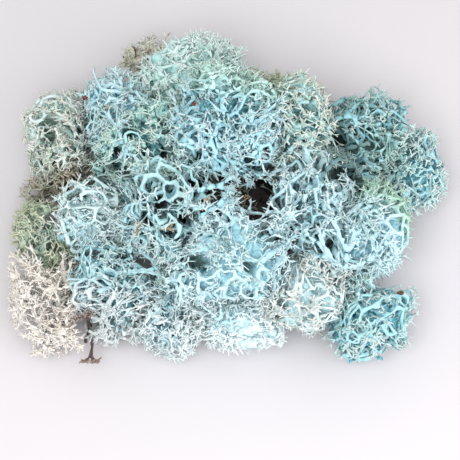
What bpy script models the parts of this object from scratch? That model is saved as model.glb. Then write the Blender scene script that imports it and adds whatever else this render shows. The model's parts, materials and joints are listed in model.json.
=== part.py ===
"""Reindeer moss clump: a heap of dyed lichen tufts that lean on each other, with scraps of litter caught in it.

Each tuft is one closed solid. Limbs stand out of a small core, fork in four, fork in four again on the open
sides, and end in pointed tips. A tuft fills a cell of its own: a rounded outline, cut flat where it meets the
next tuft or the ground. Nothing of it leaves that cell, so no two tufts cross.
"""

import math
import random
from dataclasses import dataclass, field

import bmesh
import bpy
from mathutils import Quaternion, Vector

MM = 0.001
SEED = 44

# A tuft's outline is a squared ball: 2 is a true one, and more fills its corners, as tufts pressed together do.
SQUARENESS = 2.8
DUAL_SQUARENESS = SQUARENESS / (SQUARENESS - 1)

# Where two tufts lean on each other, each ends this far from their common seam.
HALF_GAP = 0.15 * MM

# Shares of the way from a tuft's centre to its outline.
CORE_REACH = 0.25
LIMB_REACH = 0.58
TWIG_REACH = 0.82
SHORT_LIMB_REACH = 0.7
PERCH_REACH = 0.82
TIP_REACH = (0.92, 1.0)
STAGE_VARIES = (0.95, 1.04)

# Widths, as shares of the cell of directions that a limb or a twig has to itself.
LIMB_WIDTH = 0.24
TWIG_WIDTH = 0.3
FLAT_END_WIDTH = 0.22
WANDER = 0.15

# A side forks twice where its outline keeps nearly all its rounded reach, and it doesn't face down.
OPEN_SHARE = 0.9
UNDERSIDE = -0.1
# A side that keeps less than this share stays bare.
BARE_SHARE = 0.5

DOWN = Vector((0, 0, -1))
GROUND = "ground"


@dataclass(frozen=True)
class Finish:
    """A colour of the lichen, or of the litter in it."""

    name: str
    colour: tuple
    roughness: float = 0.85


SKY = Finish("sky_lichen", (0.42, 0.66, 0.72))
MINT = Finish("mint_lichen", (0.43, 0.65, 0.60))
TEAL = Finish("teal_lichen", (0.19, 0.38, 0.39))
OLIVE = Finish("olive_lichen", (0.33, 0.42, 0.35))
STRAW = Finish("straw_lichen", (0.60, 0.58, 0.50))
DEAD = Finish("dead_lichen", (0.12, 0.11, 0.09))
BARK = Finish("brown_litter", (0.10, 0.035, 0.02), 0.6)


@dataclass
class Seam:
    """A flat limit of a tuft's cell, at a distance from the tuft's centre along its outward normal."""

    normal: Vector
    distance: float
    other: str

    def along(self, direction):
        """How far away this plane is from the tuft's centre along a direction."""
        facing = self.normal.dot(direction)
        return self.distance / facing if facing > 1e-6 else math.inf


@dataclass
class Tuft:
    """One tuft: its centre, the half-sizes of its rounded outline in millimetres, and that outline's turn."""

    name: str
    centre: tuple
    half: tuple
    finish: Finish
    turn: float = 0
    forks: int = 2
    seams: list = field(default_factory=list)

    def __post_init__(self):
        self.middle = Vector(self.centre) * MM
        self.radii = Vector(self.half) * MM
        self.to_own_axes = Quaternion((0, 0, 1), -math.radians(self.turn))

    def rounded(self, direction):
        """How far the rounded outline is along a unit direction."""
        own = self.to_own_axes @ direction
        return sum(abs(d / r) ** SQUARENESS for d, r in zip(own, self.radii)) ** (-1 / SQUARENESS)

    def extent(self, direction):
        """How far the rounded outline reaches, measured square to a direction."""
        own = self.to_own_axes @ direction
        return sum(abs(d * r) ** DUAL_SQUARENESS for d, r in zip(own, self.radii)) ** (1 / DUAL_SQUARENESS)

    def nearest_seam(self, direction):
        """The seam that is met first along a unit direction."""
        return min(self.seams, key=lambda seam: seam.along(direction))

    def to_seam(self, direction):
        """How far the nearest seam is along a unit direction."""
        return self.nearest_seam(direction).along(direction)

    def reach(self, direction):
        """How far the tuft may grow along a unit direction."""
        return min(self.rounded(direction), self.to_seam(direction))

    def on_the_ground(self):
        """Whether the rounded outline comes down to the ground."""
        return self.radii.z >= 0.98 * self.middle.z


@dataclass(frozen=True)
class Scrap:
    """A chip of litter on a cut-off limb of its host: which way that faces, its half-sizes in mm, its turn."""

    name: str
    host: str
    towards: tuple
    half: tuple
    turn: float


# Centres are counted from a point under the middle of the heap: x to the right, y to the back, z up.
TUFTS = (
    Tuft("centre_base_tuft", (-4, 6, 15), (50, 44, 15), DEAD, forks=1),
    Tuft("rear_top_tuft", (-16, 66, 19), (26, 20, 19), MINT, 15),
    Tuft("rear_stray_tuft", (-36, 81, 11), (13, 10, 11), STRAW, 40, forks=1),
    Tuft("rear_right_tuft", (21, 59, 13), (21, 15, 13), OLIVE, -20),
    Tuft("right_rear_tuft", (54, 38, 18), (28, 22, 18), TEAL, 35),
    Tuft("right_edge_tuft", (72, 30, 13), (16, 18, 13), MINT, 20),
    Tuft("left_rear_tuft", (-45, 49, 21), (21, 18, 21), SKY, -15),
    Tuft("left_far_tuft", (-69, 44, 14), (16, 22, 14), OLIVE, 15),
    Tuft("left_dark_tuft", (-67, 20, 10), (19, 14, 10), DEAD, -10, forks=1),
    Tuft("left_mid_tuft", (-54, 3, 19), (23, 16, 19), SKY, 25),
    Tuft("left_olive_tuft", (-74, 0, 12), (14, 15, 12), OLIVE, forks=1),
    Tuft("left_front_tuft", (-71, -28, 13), (17, 26, 13), STRAW, 5),
    Tuft("front_left_tuft", (-47, -26, 16), (25, 20, 16), SKY, -40),
    Tuft("front_mid_tuft", (-22, -32, 12), (17, 20, 12), SKY, 15, forks=1),
    Tuft("front_centre_tuft", (4, -33, 16), (25, 18, 16), SKY, -12),
    Tuft("front_right_tuft", (53, -36, 16), (22, 18, 16), MINT, 12),
    Tuft("centre_top_tuft", (-2, 35, 36), (30, 24, 23), SKY, -15),
    Tuft("cream_tuft", (27, 36, 31), (17, 21, 20), MINT, 20),
    Tuft("rear_middle_tuft", (-33, 27, 27), (25, 19, 20), MINT, 30),
    Tuft("centre_left_tuft", (-27, 1, 31), (27, 20, 20), SKY, -25),
    Tuft("centre_right_tuft", (30, 2, 33), (16, 20, 20), SKY, 10),
    Tuft("right_mid_tuft", (50, -7, 24), (25, 21, 24), SKY, 50),
    Tuft("right_low_tuft", (31, -29, 22), (21, 16, 18), MINT, 20),
    Tuft("centre_low_tuft", (2, -20, 31), (26, 19, 20), SKY, 10),
)

SCRAPS = (
    Scrap("top_bark_scrap", "centre_top_tuft", (-0.45, 0.35, 0.85), (1.6, 1.1, 0.9), 20),
    Scrap("bud_scale_scrap", "front_right_tuft", (0.85, 0.0, 0.5), (2.6, 0.8, 0.7), 50),
    Scrap("left_bark_scrap", "left_rear_tuft", (-0.5, 0.0, 0.85), (1.8, 1.4, 0.9), 100),
)


def between(start, end, share):
    """The unit direction a share of the way from one direction to another."""
    return start.lerp(end, share).normalized()


def middle_of(corners):
    """The unit direction in the middle of a cell of directions."""
    return sum(corners, Vector((0, 0, 0))).normalized()


class Cells:
    """Twelve directions and the twenty three-cornered cells of directions between them, turned at random."""

    def __init__(self, draw):
        turn = Quaternion([draw.gauss(0, 1) for _ in range(4)]).normalized()
        ball = bmesh.new()
        bmesh.ops.create_icosphere(ball, subdivisions=1, radius=1)
        self.directions = [turn @ vertex.co.normalized() for vertex in ball.verts]
        self.cells = [tuple(vertex.index for vertex in face.verts) for face in ball.faces]
        ball.free()
        self.middles = [middle_of(self.corners(number)) for number in range(len(self.cells))]

    def corners(self, number):
        """The three corner directions of a cell."""
        return [self.directions[i] for i in self.cells[number]]

    def facing(self, direction, taken=()):
        """The free cell that faces a direction best."""
        free = [number for number in range(len(self.cells)) if number not in taken]
        return max(free, key=lambda number: self.middles[number].dot(direction))


class Growth:
    """The mesh of one tuft as it grows. Its points are counted from the tuft's centre."""

    def __init__(self, tuft, cells, draw):
        self.tuft = tuft
        self.cells = cells
        self.draw = draw
        self.points = []
        self.faces = []
        self.flat_ends = {}

    def add_point(self, place):
        """Adds a point and returns its number."""
        self.points.append(place)
        return len(self.points) - 1

    def ring(self, heart, corners, width, share):
        """Adds three points a share of the way out, around a heart direction and drawn in from the corners."""
        ways = [between(heart, corner, width) for corner in corners]
        return [self.add_point(way * self.tuft.reach(way) * share) for way in ways]

    def ring_on_seam(self, heart, corners):
        """Adds three points where the tuft's nearest seam is, around a heart direction."""
        ways = [between(heart, corner, FLAT_END_WIDTH) for corner in corners]
        return [self.add_point(way * self.tuft.to_seam(way)) for way in ways]

    def ring_on_perch(self, heart, corners):
        """Adds three points level with each other, short of the outline, for a scrap to lie on."""
        ways = [between(heart, corner, FLAT_END_WIDTH) for corner in corners]
        height = self.tuft.reach(heart) * PERCH_REACH
        return [self.add_point(way * height / way.dot(heart)) for way in ways]

    def wandering_heart(self, corners):
        """A direction near the middle of a cell, and inside it."""
        return middle_of([corner * (1 + self.draw.uniform(-WANDER, WANDER)) for corner in corners])

    def sides(self, base, top):
        """Joins two rings of three points."""
        for k in range(3):
            following = (k + 1) % 3
            self.faces.append((base[k], base[following], top[following]))
            self.faces.append((base[k], top[following], top[k]))

    def forked_sides(self, base, top):
        """Joins two rings, and adds and returns the points halfway along the top ring's edges."""
        halves = []
        for k in range(3):
            following = (k + 1) % 3
            half = self.add_point((self.points[top[k]] + self.points[top[following]]) / 2)
            self.faces.append((base[k], base[following], half))
            self.faces.append((base[following], top[following], half))
            self.faces.append((base[k], half, top[k]))
            halves.append(half)
        return halves

    def tip(self, base, corners):
        """Ends a twig in a point."""
        way = self.wandering_heart(corners)
        apex = self.add_point(way * self.tuft.reach(way) * self.draw.uniform(*TIP_REACH))
        for k in range(3):
            self.faces.append((base[k], base[(k + 1) % 3], apex))

    def branch(self, base, corners, stages):
        """Grows a stem out of a ring and forks it in four for each (reach, width) stage, and ends in tips."""
        if not stages:
            self.tip(base, corners)
            return
        reach, width = stages[0]
        reach *= self.draw.uniform(*STAGE_VARIES)
        top = self.ring(self.wandering_heart(corners), corners, width, reach)
        ab, bc, ca = self.forked_sides(base, top)
        a, b, c = corners
        way_ab, way_bc, way_ca = between(a, b, 0.5), between(b, c, 0.5), between(c, a, 0.5)
        self.branch((top[0], ab, ca), (a, way_ab, way_ca), stages[1:])
        self.branch((ab, top[1], bc), (way_ab, b, way_bc), stages[1:])
        self.branch((ca, bc, top[2]), (way_ca, way_bc, c), stages[1:])
        self.branch((ab, bc, ca), (way_ab, way_bc, way_ca), stages[1:])

    def flat_end(self, base, number):
        """Grows a stem that ends flat: a foot, a meeting with the next tuft or a perch."""
        heart, make_ring = self.flat_ends[number]
        top = make_ring(heart, self.cells.corners(number))
        self.sides(base, top)
        self.faces.append(tuple(top))

    def grow(self):
        """Grows the whole tuft: a core, and a limb or a flat end on each of its faces that isn't bare."""
        limb = (LIMB_REACH, LIMB_WIDTH)
        twig = (TWIG_REACH, TWIG_WIDTH)
        short_limb = (SHORT_LIMB_REACH, TWIG_WIDTH)
        core = [self.add_point(way * self.tuft.reach(way) * CORE_REACH) for way in self.cells.directions]
        for number, cell in enumerate(self.cells.cells):
            base = tuple(core[i] for i in cell)
            middle = self.cells.middles[number]
            kept = self.tuft.reach(middle) / self.tuft.rounded(middle)
            if number in self.flat_ends:
                self.flat_end(base, number)
            elif kept < BARE_SHARE:
                self.faces.append(base)
            elif kept >= OPEN_SHARE and middle.z > UNDERSIDE and self.tuft.forks > 1:
                self.branch(base, self.cells.corners(number), (limb, twig))
            else:
                self.branch(base, self.cells.corners(number), (short_limb,))

    def end_on_seam(self, number, heart):
        """Notes that the limb of a cell ends flat on the tuft's nearest seam, around a heart direction."""
        self.flat_ends[number] = (heart, self.ring_on_seam)

    def end_as_perch(self, number):
        """Notes that the limb of a cell is cut short and flat, and returns the direction that it faces."""
        heart = self.cells.middles[number]
        self.flat_ends[number] = (heart, self.ring_on_perch)
        return heart


def lay_seams(tufts):
    """Puts a seam under each tuft where the ground is, and one between each two whose outlines overlap."""
    for tuft in tufts:
        tuft.seams.append(Seam(DOWN, tuft.middle.z, GROUND))
        for other in tufts:
            if other is tuft:
                continue
            apart = other.middle - tuft.middle
            normal = apart.normalized()
            own, theirs = tuft.extent(normal), other.extent(normal)
            if own + theirs > apart.length:
                distance = apart.length * own / (own + theirs) - HALF_GAP
                tuft.seams.append(Seam(normal, distance, other.name))


def stand_on_the_ground(growths):
    """Gives each tuft that comes down to the ground a foot that ends flat on it."""
    for growth in growths.values():
        if growth.tuft.on_the_ground():
            growth.end_on_seam(growth.cells.facing(DOWN), DOWN)


def lean_together(growths):
    """Gives each two tufts that meet a limb each, whose flat ends face each other across the seam."""
    meetings = []
    for name, growth in growths.items():
        for seam in growth.tuft.seams:
            other = growths.get(seam.other)
            if other is None or seam.other < name:
                continue
            in_the_open = growth.tuft.nearest_seam(seam.normal).other == seam.other
            if in_the_open and other.tuft.nearest_seam(-seam.normal).other == name:
                closeness = seam.distance / growth.tuft.extent(seam.normal)
                meetings.append((closeness, name, seam.other, seam.normal))
    for _, name, other_name, normal in sorted(meetings, key=lambda meeting: meeting[0]):
        one, other = growths[name], growths[other_name]
        cell, other_cell = one.cells.facing(normal), other.cells.facing(-normal)
        if cell not in one.flat_ends and other_cell not in other.flat_ends:
            one.end_on_seam(cell, normal)
            other.end_on_seam(other_cell, -normal)


def set_perches(growths):
    """Cuts a limb short under each scrap, and returns the direction that the scrap lies in."""
    ways = {}
    for scrap in SCRAPS:
        growth = growths[scrap.host]
        number = growth.cells.facing(Vector(scrap.towards), growth.flat_ends)
        ways[scrap.name] = growth.end_as_perch(number)
    return ways


def make_material(finish):
    """A plain surface in a finish's colour."""
    material = bpy.data.materials.new(finish.name)
    material.use_nodes = True
    shader = material.node_tree.nodes["Principled BSDF"]
    shader.inputs["Base Color"].default_value = (*finish.colour, 1)
    shader.inputs["Roughness"].default_value = finish.roughness
    material.diffuse_color = (*finish.colour, 1)
    return material


def add_object(name, points, faces, place, finish):
    """Adds a closed mesh object, dressed in a finish."""
    mesh = bpy.data.meshes.new(name)
    mesh.from_pydata(points, [], faces)
    mesh.materials.append(bpy.data.materials.get(finish.name) or make_material(finish))
    made = bpy.data.objects.new(name, mesh)
    made.location = place
    bpy.context.scene.collection.objects.link(made)


def add_scrap(scrap, tuft, way, offset):
    """Adds a chip of litter that lies a gap above its perch."""
    half = Vector(scrap.half) * MM
    lie = way.to_track_quat("Z", "Y") @ Quaternion((0, 0, 1), math.radians(scrap.turn))
    seat = way * (tuft.reach(way) * PERCH_REACH + 2 * HALF_GAP + half.z)
    chip = bmesh.new()
    bmesh.ops.create_icosphere(chip, subdivisions=1, radius=1)
    points = [lie @ (vertex.co * half) + seat for vertex in chip.verts]
    faces = [tuple(vertex.index for vertex in face.verts) for face in chip.faces]
    chip.free()
    add_object(scrap.name, points, faces, tuft.middle + offset, BARK)


def clear_scene():
    """Removes what the startup scene holds."""
    for old in list(bpy.data.objects):
        bpy.data.objects.remove(old)


def heap_offset(growths):
    """The shift that brings the middle of the heap's footprint over the origin."""
    places = [growth.tuft.middle + point for growth in growths.values() for point in growth.points]
    middle_x = (min(p.x for p in places) + max(p.x for p in places)) / 2
    middle_y = (min(p.y for p in places) + max(p.y for p in places)) / 2
    return Vector((-middle_x, -middle_y, 0))


def main():
    clear_scene()
    draw = random.Random(SEED)
    lay_seams(TUFTS)
    growths = {tuft.name: Growth(tuft, Cells(draw), draw) for tuft in TUFTS}
    stand_on_the_ground(growths)
    lean_together(growths)
    scrap_ways = set_perches(growths)
    for growth in growths.values():
        growth.grow()
    offset = heap_offset(growths)
    for name, growth in growths.items():
        tuft = growth.tuft
        add_object(name, growth.points, growth.faces, tuft.middle + offset, tuft.finish)
    for scrap in SCRAPS:
        add_scrap(scrap, growths[scrap.host].tuft, scrap_ways[scrap.name], offset)


main()
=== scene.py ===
"""Reindeer moss clump, dressed for its picture.

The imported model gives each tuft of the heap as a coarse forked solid. Here a fine one takes the place of
each: a stem that forks again and again, with webbed forks, and ends in stars of pale fingers, over nets
of stems that have grown into each other and a mat of old growth. Broad boughs lie over the crowns, thin
sprays reach over gaps, and dead twigs and curled flakes of litter are caught in the heap. Hollows and
clearings stay open between the tufts. The script then lays the floor, the lights and the camera.
"""

import json
import logging
import math
from collections.abc import Callable
from dataclasses import dataclass, replace
from enum import Enum

import bmesh
import bpy
import numpy as np
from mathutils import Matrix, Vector, noise
from mathutils.bvhtree import BVHTree

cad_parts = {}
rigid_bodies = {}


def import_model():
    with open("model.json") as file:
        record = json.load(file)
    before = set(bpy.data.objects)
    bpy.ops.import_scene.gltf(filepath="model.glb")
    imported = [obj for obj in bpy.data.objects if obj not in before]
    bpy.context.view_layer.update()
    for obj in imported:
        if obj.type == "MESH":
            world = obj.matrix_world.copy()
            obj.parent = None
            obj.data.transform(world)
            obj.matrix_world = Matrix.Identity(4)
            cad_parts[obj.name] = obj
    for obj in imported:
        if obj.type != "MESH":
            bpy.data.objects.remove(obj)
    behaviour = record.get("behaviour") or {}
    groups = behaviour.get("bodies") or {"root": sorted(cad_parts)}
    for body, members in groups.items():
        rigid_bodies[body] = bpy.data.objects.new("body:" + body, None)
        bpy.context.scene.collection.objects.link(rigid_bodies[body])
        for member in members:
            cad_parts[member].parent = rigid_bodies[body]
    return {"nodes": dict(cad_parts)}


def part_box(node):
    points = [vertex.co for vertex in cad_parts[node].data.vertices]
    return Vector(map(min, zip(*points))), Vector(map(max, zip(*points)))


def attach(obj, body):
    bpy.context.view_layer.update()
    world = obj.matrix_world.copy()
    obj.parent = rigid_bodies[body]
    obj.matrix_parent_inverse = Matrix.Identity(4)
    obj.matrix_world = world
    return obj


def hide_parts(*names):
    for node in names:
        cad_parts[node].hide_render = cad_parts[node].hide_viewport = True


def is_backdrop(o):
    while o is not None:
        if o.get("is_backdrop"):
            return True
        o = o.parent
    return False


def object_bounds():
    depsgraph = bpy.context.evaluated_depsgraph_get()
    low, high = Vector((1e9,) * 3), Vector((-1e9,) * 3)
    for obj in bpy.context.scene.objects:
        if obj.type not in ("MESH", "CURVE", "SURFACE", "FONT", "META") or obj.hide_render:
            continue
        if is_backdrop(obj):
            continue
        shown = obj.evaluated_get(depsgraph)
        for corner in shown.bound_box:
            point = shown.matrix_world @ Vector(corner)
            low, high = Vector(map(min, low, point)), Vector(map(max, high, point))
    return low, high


LOG = logging.getLogger("moss_clump")
MM = 0.001
SEED = 11
SETTLING_SEED = 3

# The heap's middle in the picture, and how the picture looks at it.
AIM = Vector((-0.4, -19.2, 20.0)) * MM
ELEVATION = math.radians(65)
VIEW_DISTANCE = 0.9
VIEW_WIDTH = 0.184
TO_CAMERA = Vector((0, -math.cos(ELEVATION), math.sin(ELEVATION)))
PICTURE_UP = Vector((0, math.sin(ELEVATION), math.cos(ELEVATION)))

# Lichen lets some light through: how much, how far each colour goes, and the distance.
SOFTNESS = 0.4
SOFT_COLOURS = (0.8, 1.0, 1.0)
SOFT_DEPTH = 1.1 * MM

# Noise in the finishes: its waves a metre, and how many finer waves lie over them.
NOISE_MIDDLE = 0.5
PATCHES = (70.0, 3.0)
MOTTLE = (420.0, 2.0)
POWDER = (2600.0, 2.0)
THIN_PATCHES = (34.0, 2.0)
CRUMBS = (750.0, 3.0)
SPECKS = (520.0, 2.0)
GRAIN = (1500.0, 4.0)
# Where each colour starts and where it is full, on the scale that it follows.
TWIG_RISE = (0.05, 0.62)
TIP_RISE = (0.62, 0.98)
STAIN_RISE = (0.46, 0.72)
THIN_RISE = (0.5, 0.68)
# The rise of the deeper colour that is painted inside the tuft as shade.
INNER_SHADE_COLOUR_RISE = (0.10, 0.6)
LITTER_RISE = (0.42, 0.6)
SPECK_RISE = (0.56, 0.64)
# The rise of the darkening that is painted inside the tuft as shade.
SHADE_RISE = (0.15, 0.9)
BARK_RISE = (0.4, 0.65)
# How strongly mottle shifts the colours along a stem, how strongly growth shifts the stain from where it is
# half done, and how fully the inside takes the deeper colour that is painted there as shade.
MOTTLED_GROWTH = 0.35
HALF_GROWN = 0.5
STAINED_GROWTH = 0.25
INNER_SHADE_COLOUR_SHARE = 0.8

# Numbers that vary with noise: where each starts, and its change. The mat's patches, the crumbs in the
# hollows' painted shade, the mottled shade, and how rough the lichen and the bark are.
PATCHY_AGE = (0.7, 0.5)
CRUMBLY_HOLLOW_SHADE = (0.7, 0.6)
MOTTLED_SHADE = (0.86, 0.28)
LICHEN_ROUGHNESS = (0.78, 0.12)
BARK_ROUGHNESS = (0.45, 0.3)

# Shorter lengths than this count as none, and directions that differ by less than this as parallel.
TINY = 1e-6
PARALLEL = 1e-4

# Below this slope a tuft's crown has no stars, because it lies on what is under it.
BARE_UNDERSIDE = -0.6
# The unevenness of that edge, of the stars' directions and of how far out they are.
UNDERSIDE_UNEVENNESS = 0.06
STAR_UNEVENNESS = 0.05
CROWN_UNEVENNESS = 0.02
# The share of its own square of the crown that a star or a hole takes up.
STAR_PACKING = 0.8
HOLE_PACKING = 0.87
# How far out the top of a lobe is, and the stars inside a crown are, as shares of the hull's reach.
CROWN_TOP = 1.01
INNER_REACH = (0.55, 0.94)
SHORTEST_REACH = 4 * MM
# The cosine of the angle from a lobe's middle to its rim, and how much more it is where the lobe is full.
LOBE_RIM = 0.8
LOBE_RISE = 0.17
# A crown is part open net and part fringe: the waves a metre of its patches, and the tips that a net keeps.
PATCH_WAVES = 62.0
TIPS_ON_NET = 0.18
# A tuft isn't a ball: how high the lumps of its crown are, as a share of the reach, and how many there are.
LUMP_HEIGHT = 0.3
LUMP_WAVES = 1.5
# How far apart in the noise the tufts' lumps are taken, so that each tuft has its own.
LUMP_SHIFT = 20
# How fast a tuft's freedom to grow past its hull ends towards the heap's outside.
OUTER_HOLD = 2.5
# How far tufts grow past their seams, into each other.
OVERLAP = 2.2 * MM
# How deep the hollows of the heap go, the share of tips that still grow in them, and how far nets go in.
HOLLOW_DEPTH = 9 * MM
TIPS_IN_HOLLOW = 0.08
NETS_IN_HOLLOW = 0.5
# A hollow ends at this many times its radius, and fades over this many.
HOLLOW_END = 1.25
HOLLOW_FADE = 0.5
# How deep under a hollow's mouth its painted shade starts, and how much deeper it is at its darkest.
HOLLOW_SHADE_START = 1.5 * MM
HOLLOW_SHADE_RISE = 3.5 * MM
# The mat of old growth in a tuft's heart: how finely it is made, the furthest that it reaches as a share
# of the hull's reach, and its lumps as waves a metre and heights.
HEART_FINENESS = 5
HEART_LIMIT = 0.82
CRUMBLE = ((140.0, 0.35), (380.0, 0.28), (900.0, 0.16))
# The old stems within a tuft: where they root, their steepest way up, their reach and how even it is.
OLD_ROOT = (0.05, 0.05, -0.6)
OLD_TOP = 0.5
OLD_REACH = (0.3, 1.0)
OLD_EVENNESS = 0.6

# A stem's ring has this many points where its radius is more than the first figure, or else the fewest.
RING_POINTS = ((0.75 * MM, 8), (0.42 * MM, 6))
FEWEST_POINTS = 4
# How far grown the last twigs are where the fingers start.
TWIG_GROWTH = 0.85
# A trunk's heel, in radii: how long it is, where it rounds off, and its width there and at its wide end.
HEEL_LENGTH = 0.8
HEEL_ROUNDING = 0.4
HEEL_NARROW = 0.75
HEEL_WIDE = 1.15


@dataclass(frozen=True)
class Net:
    """A layer of stems that have grown into each other, with rounded holes between them.

    The depth is a share of the crown's reach. A share of the stems is broken, and their stubs reach so
    far along the way to the stem's middle. A hole keeps at least the narrowest share of its way to the
    stems round it, and its corners reach only a little further than its sides.
    """

    depth: float
    hole: float
    stem_width: float
    thickness: float
    growth: float
    broken: float = 0.28
    stub_reach: tuple = (0.35, 0.8)
    long_holes: float = 1.45
    narrowest: float = 0.35
    corner_reach: float = 1.02
    side_growth: float = 0.8
    waves: float = 260.0
    waviness: float = 1.6 * MM
    unevenness: float = 0.65

    @property
    def stub_radius(self) -> float:
        """The radius of a broken stem's end."""
        return self.stem_width / 4


OUTER_NET = Net(0.94, 4.6 * MM, 1.7 * MM, 1.3 * MM, 0.45)
INNER_NET = Net(0.74, 4.6 * MM, 1.6 * MM, 1.3 * MM, 0.15)
OPEN_NET = Net(0.92, 5.2 * MM, 2.0 * MM, 1.4 * MM, 0.35)


@dataclass(frozen=True)
class Growth:
    """How a tuft grows.

    The crevice is the share of the reach that tips keep between lobes. Less roundness makes rounder
    lobes. The inner share of the stars stays inside the crown, and the heart is the share of the reach
    that the mat of old growth fills. The nets grow under the crown where the noise of its patches is
    below the net level.
    """

    crevice: float
    roundness: float
    inner_share: float
    heart: float
    nets: tuple[Net, ...]
    net_level: float

    def is_net(self, place: Vector) -> bool:
        """Whether a place lies in a patch where the crown is an open net, not a fringe of tips."""
        return noise.noise(place * PATCH_WAVES) < self.net_level


class Habit(Enum):
    """The ways in which the heap's tufts grow."""

    DOME = Growth(0.82, 0.6, 0.35, 0.60, (OUTER_NET, INNER_NET), -0.04)
    DENSE = Growth(0.86, 0.6, 0.45, 0.70, (OUTER_NET,), -0.10)
    FAN = Growth(0.84, 0.6, 0.5, 0.58, (OPEN_NET, INNER_NET), 0.08)
    STRAGGLY = Growth(0.50, 1.2, 0.5, 0.3, (), -1.0)
    MAT = Growth(0.7, 0.8, 0.5, 0.8, (), -1.0)
    WIRY = Growth(0.50, 1.2, 0.5, 0.0, (), -1.0)
    OPEN = Growth(0.80, 0.7, 0.4, 0.4, (OUTER_NET,), 0.10)


class Value:
    """A shader socket that can be reckoned with like a number."""

    def __init__(self, shader: "ShaderTree", socket: bpy.types.NodeSocket) -> None:
        """Wraps a socket of a shader tree."""
        self.shader = shader
        self.socket = socket

    def _maths(self, operation: str, *inputs: "Value | float", clamp: bool = False) -> "Value":
        """Adds one Math node.

        Args:
            operation: The Math node's operation.
            inputs: Its inputs, in order.
            clamp: Whether the result is kept between 0 and 1.

        Returns:
            The node's result.
        """
        settings = {"operation": operation, "use_clamp": clamp}
        return self.shader.node("ShaderNodeMath", settings, dict(enumerate(inputs)))

    def __add__(self, other: "Value | float") -> "Value":
        """Adds."""
        return self._maths("ADD", self, other)

    __radd__ = __add__

    def __sub__(self, other: "Value | float") -> "Value":
        """Takes away."""
        return self._maths("SUBTRACT", self, other)

    def __rsub__(self, other: float) -> "Value":
        """Takes this value away from a number."""
        return self._maths("SUBTRACT", other, self)

    def __mul__(self, other: "Value | float") -> "Value":
        """Multiplies."""
        return self._maths("MULTIPLY", self, other)

    __rmul__ = __mul__

    def varied(self, base: float, change: float) -> "Value":
        """A number that starts at a base and changes with this value."""
        return base + self * change

    def clamped(self) -> "Value":
        """Keeps the value between 0 and 1."""
        return self._maths("ADD", self, 0.0, clamp=True)

    def step(self, low: float, high: float) -> "Value":
        """Rises smoothly from 0 at low to 1 at high.

        Args:
            low: Where the rise starts.
            high: Where it ends.

        Returns:
            The risen value.
        """
        settings = {"interpolation_type": "SMOOTHSTEP"}
        inputs = {"Value": self, "From Min": low, "From Max": high}
        return self.shader.node("ShaderNodeMapRange", settings, inputs)


class ShaderTree:
    """A material's nodes, added one by one."""

    def __init__(self, name: str) -> None:
        """Makes a material with only its Principled shader.

        Args:
            name: The material's name.
        """
        self.material = bpy.data.materials.new(name)
        self.material.use_nodes = True
        self.tree = self.material.node_tree
        self.principled = self.tree.nodes["Principled BSDF"]

    def node(self, kind: str, settings: dict, inputs: dict, output: int | str = 0) -> Value:
        """Adds a node.

        Args:
            kind: The node's type.
            settings: Its own settings, set before its inputs.
            inputs: Values or links, by socket name or number.
            output: The output that is wanted.

        Returns:
            That output.
        """
        made = self.tree.nodes.new(kind)
        for name, setting in settings.items():
            setattr(made, name, setting)
        for name, value in inputs.items():
            self.feed(made.inputs[name], value)
        return Value(self, made.outputs[output])

    def feed(self, socket: bpy.types.NodeSocket, value: "Value | float | tuple") -> None:
        """Links or sets a socket.

        Args:
            socket: The socket to feed.
            value: What to link to it, or its own value.
        """
        if isinstance(value, Value):
            self.tree.links.new(value.socket, socket)
        elif isinstance(value, tuple) and socket.type == "RGBA":
            socket.default_value = (*value, 1.0)
        else:
            socket.default_value = value

    def set(self, **inputs: "Value | float | tuple") -> None:
        """Feeds the Principled shader.

        Args:
            inputs: Values by socket name, with underscores for spaces.
        """
        for name, value in inputs.items():
            self.feed(self.principled.inputs[name.replace("_", " ")], value)

    def attribute(self, name: str) -> Value:
        """The value of a point attribute."""
        return self.node("ShaderNodeAttribute", {"attribute_name": name}, {}, "Fac")

    def place(self) -> Value:
        """The place on the object, in metres."""
        return self.node("ShaderNodeTexCoord", {}, {}, "Object")

    def noise(self, scale: float, detail: float) -> Value:
        """Noise in space.

        Args:
            scale: Waves a metre.
            detail: How many finer waves are laid over it.

        Returns:
            A value around 0.5.
        """
        inputs = {"Vector": self.place(), "Scale": scale, "Detail": detail}
        return self.node("ShaderNodeTexNoise", {}, inputs)

    def along(self, way: tuple) -> Value:
        """How far the place lies along a direction, in metres."""
        settings = {"operation": "DOT_PRODUCT"}
        return self.node("ShaderNodeVectorMath", settings, {0: self.place(), 1: way}, "Value")

    def blend(self, share: Value, start: "Value | tuple", end: "Value | tuple") -> Value:
        """Mixes two colours.

        Args:
            share: How much of the second.
            start: The first colour.
            end: The second colour.

        Returns:
            The mixed colour.
        """
        settings = {"data_type": "RGBA"}
        return self.node("ShaderNodeMix", settings, {0: share, 6: start, 7: end}, 2)

    def bump(self, height: Value, strength: float, distance: float) -> Value:
        """A normal that is roughened by a height.

        Args:
            height: The height to follow.
            strength: How strongly.
            distance: The height's size in metres.

        Returns:
            The roughened normal.
        """
        inputs = {"Height": height, "Strength": strength, "Distance": distance}
        return self.node("ShaderNodeBump", {}, inputs)


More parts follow.
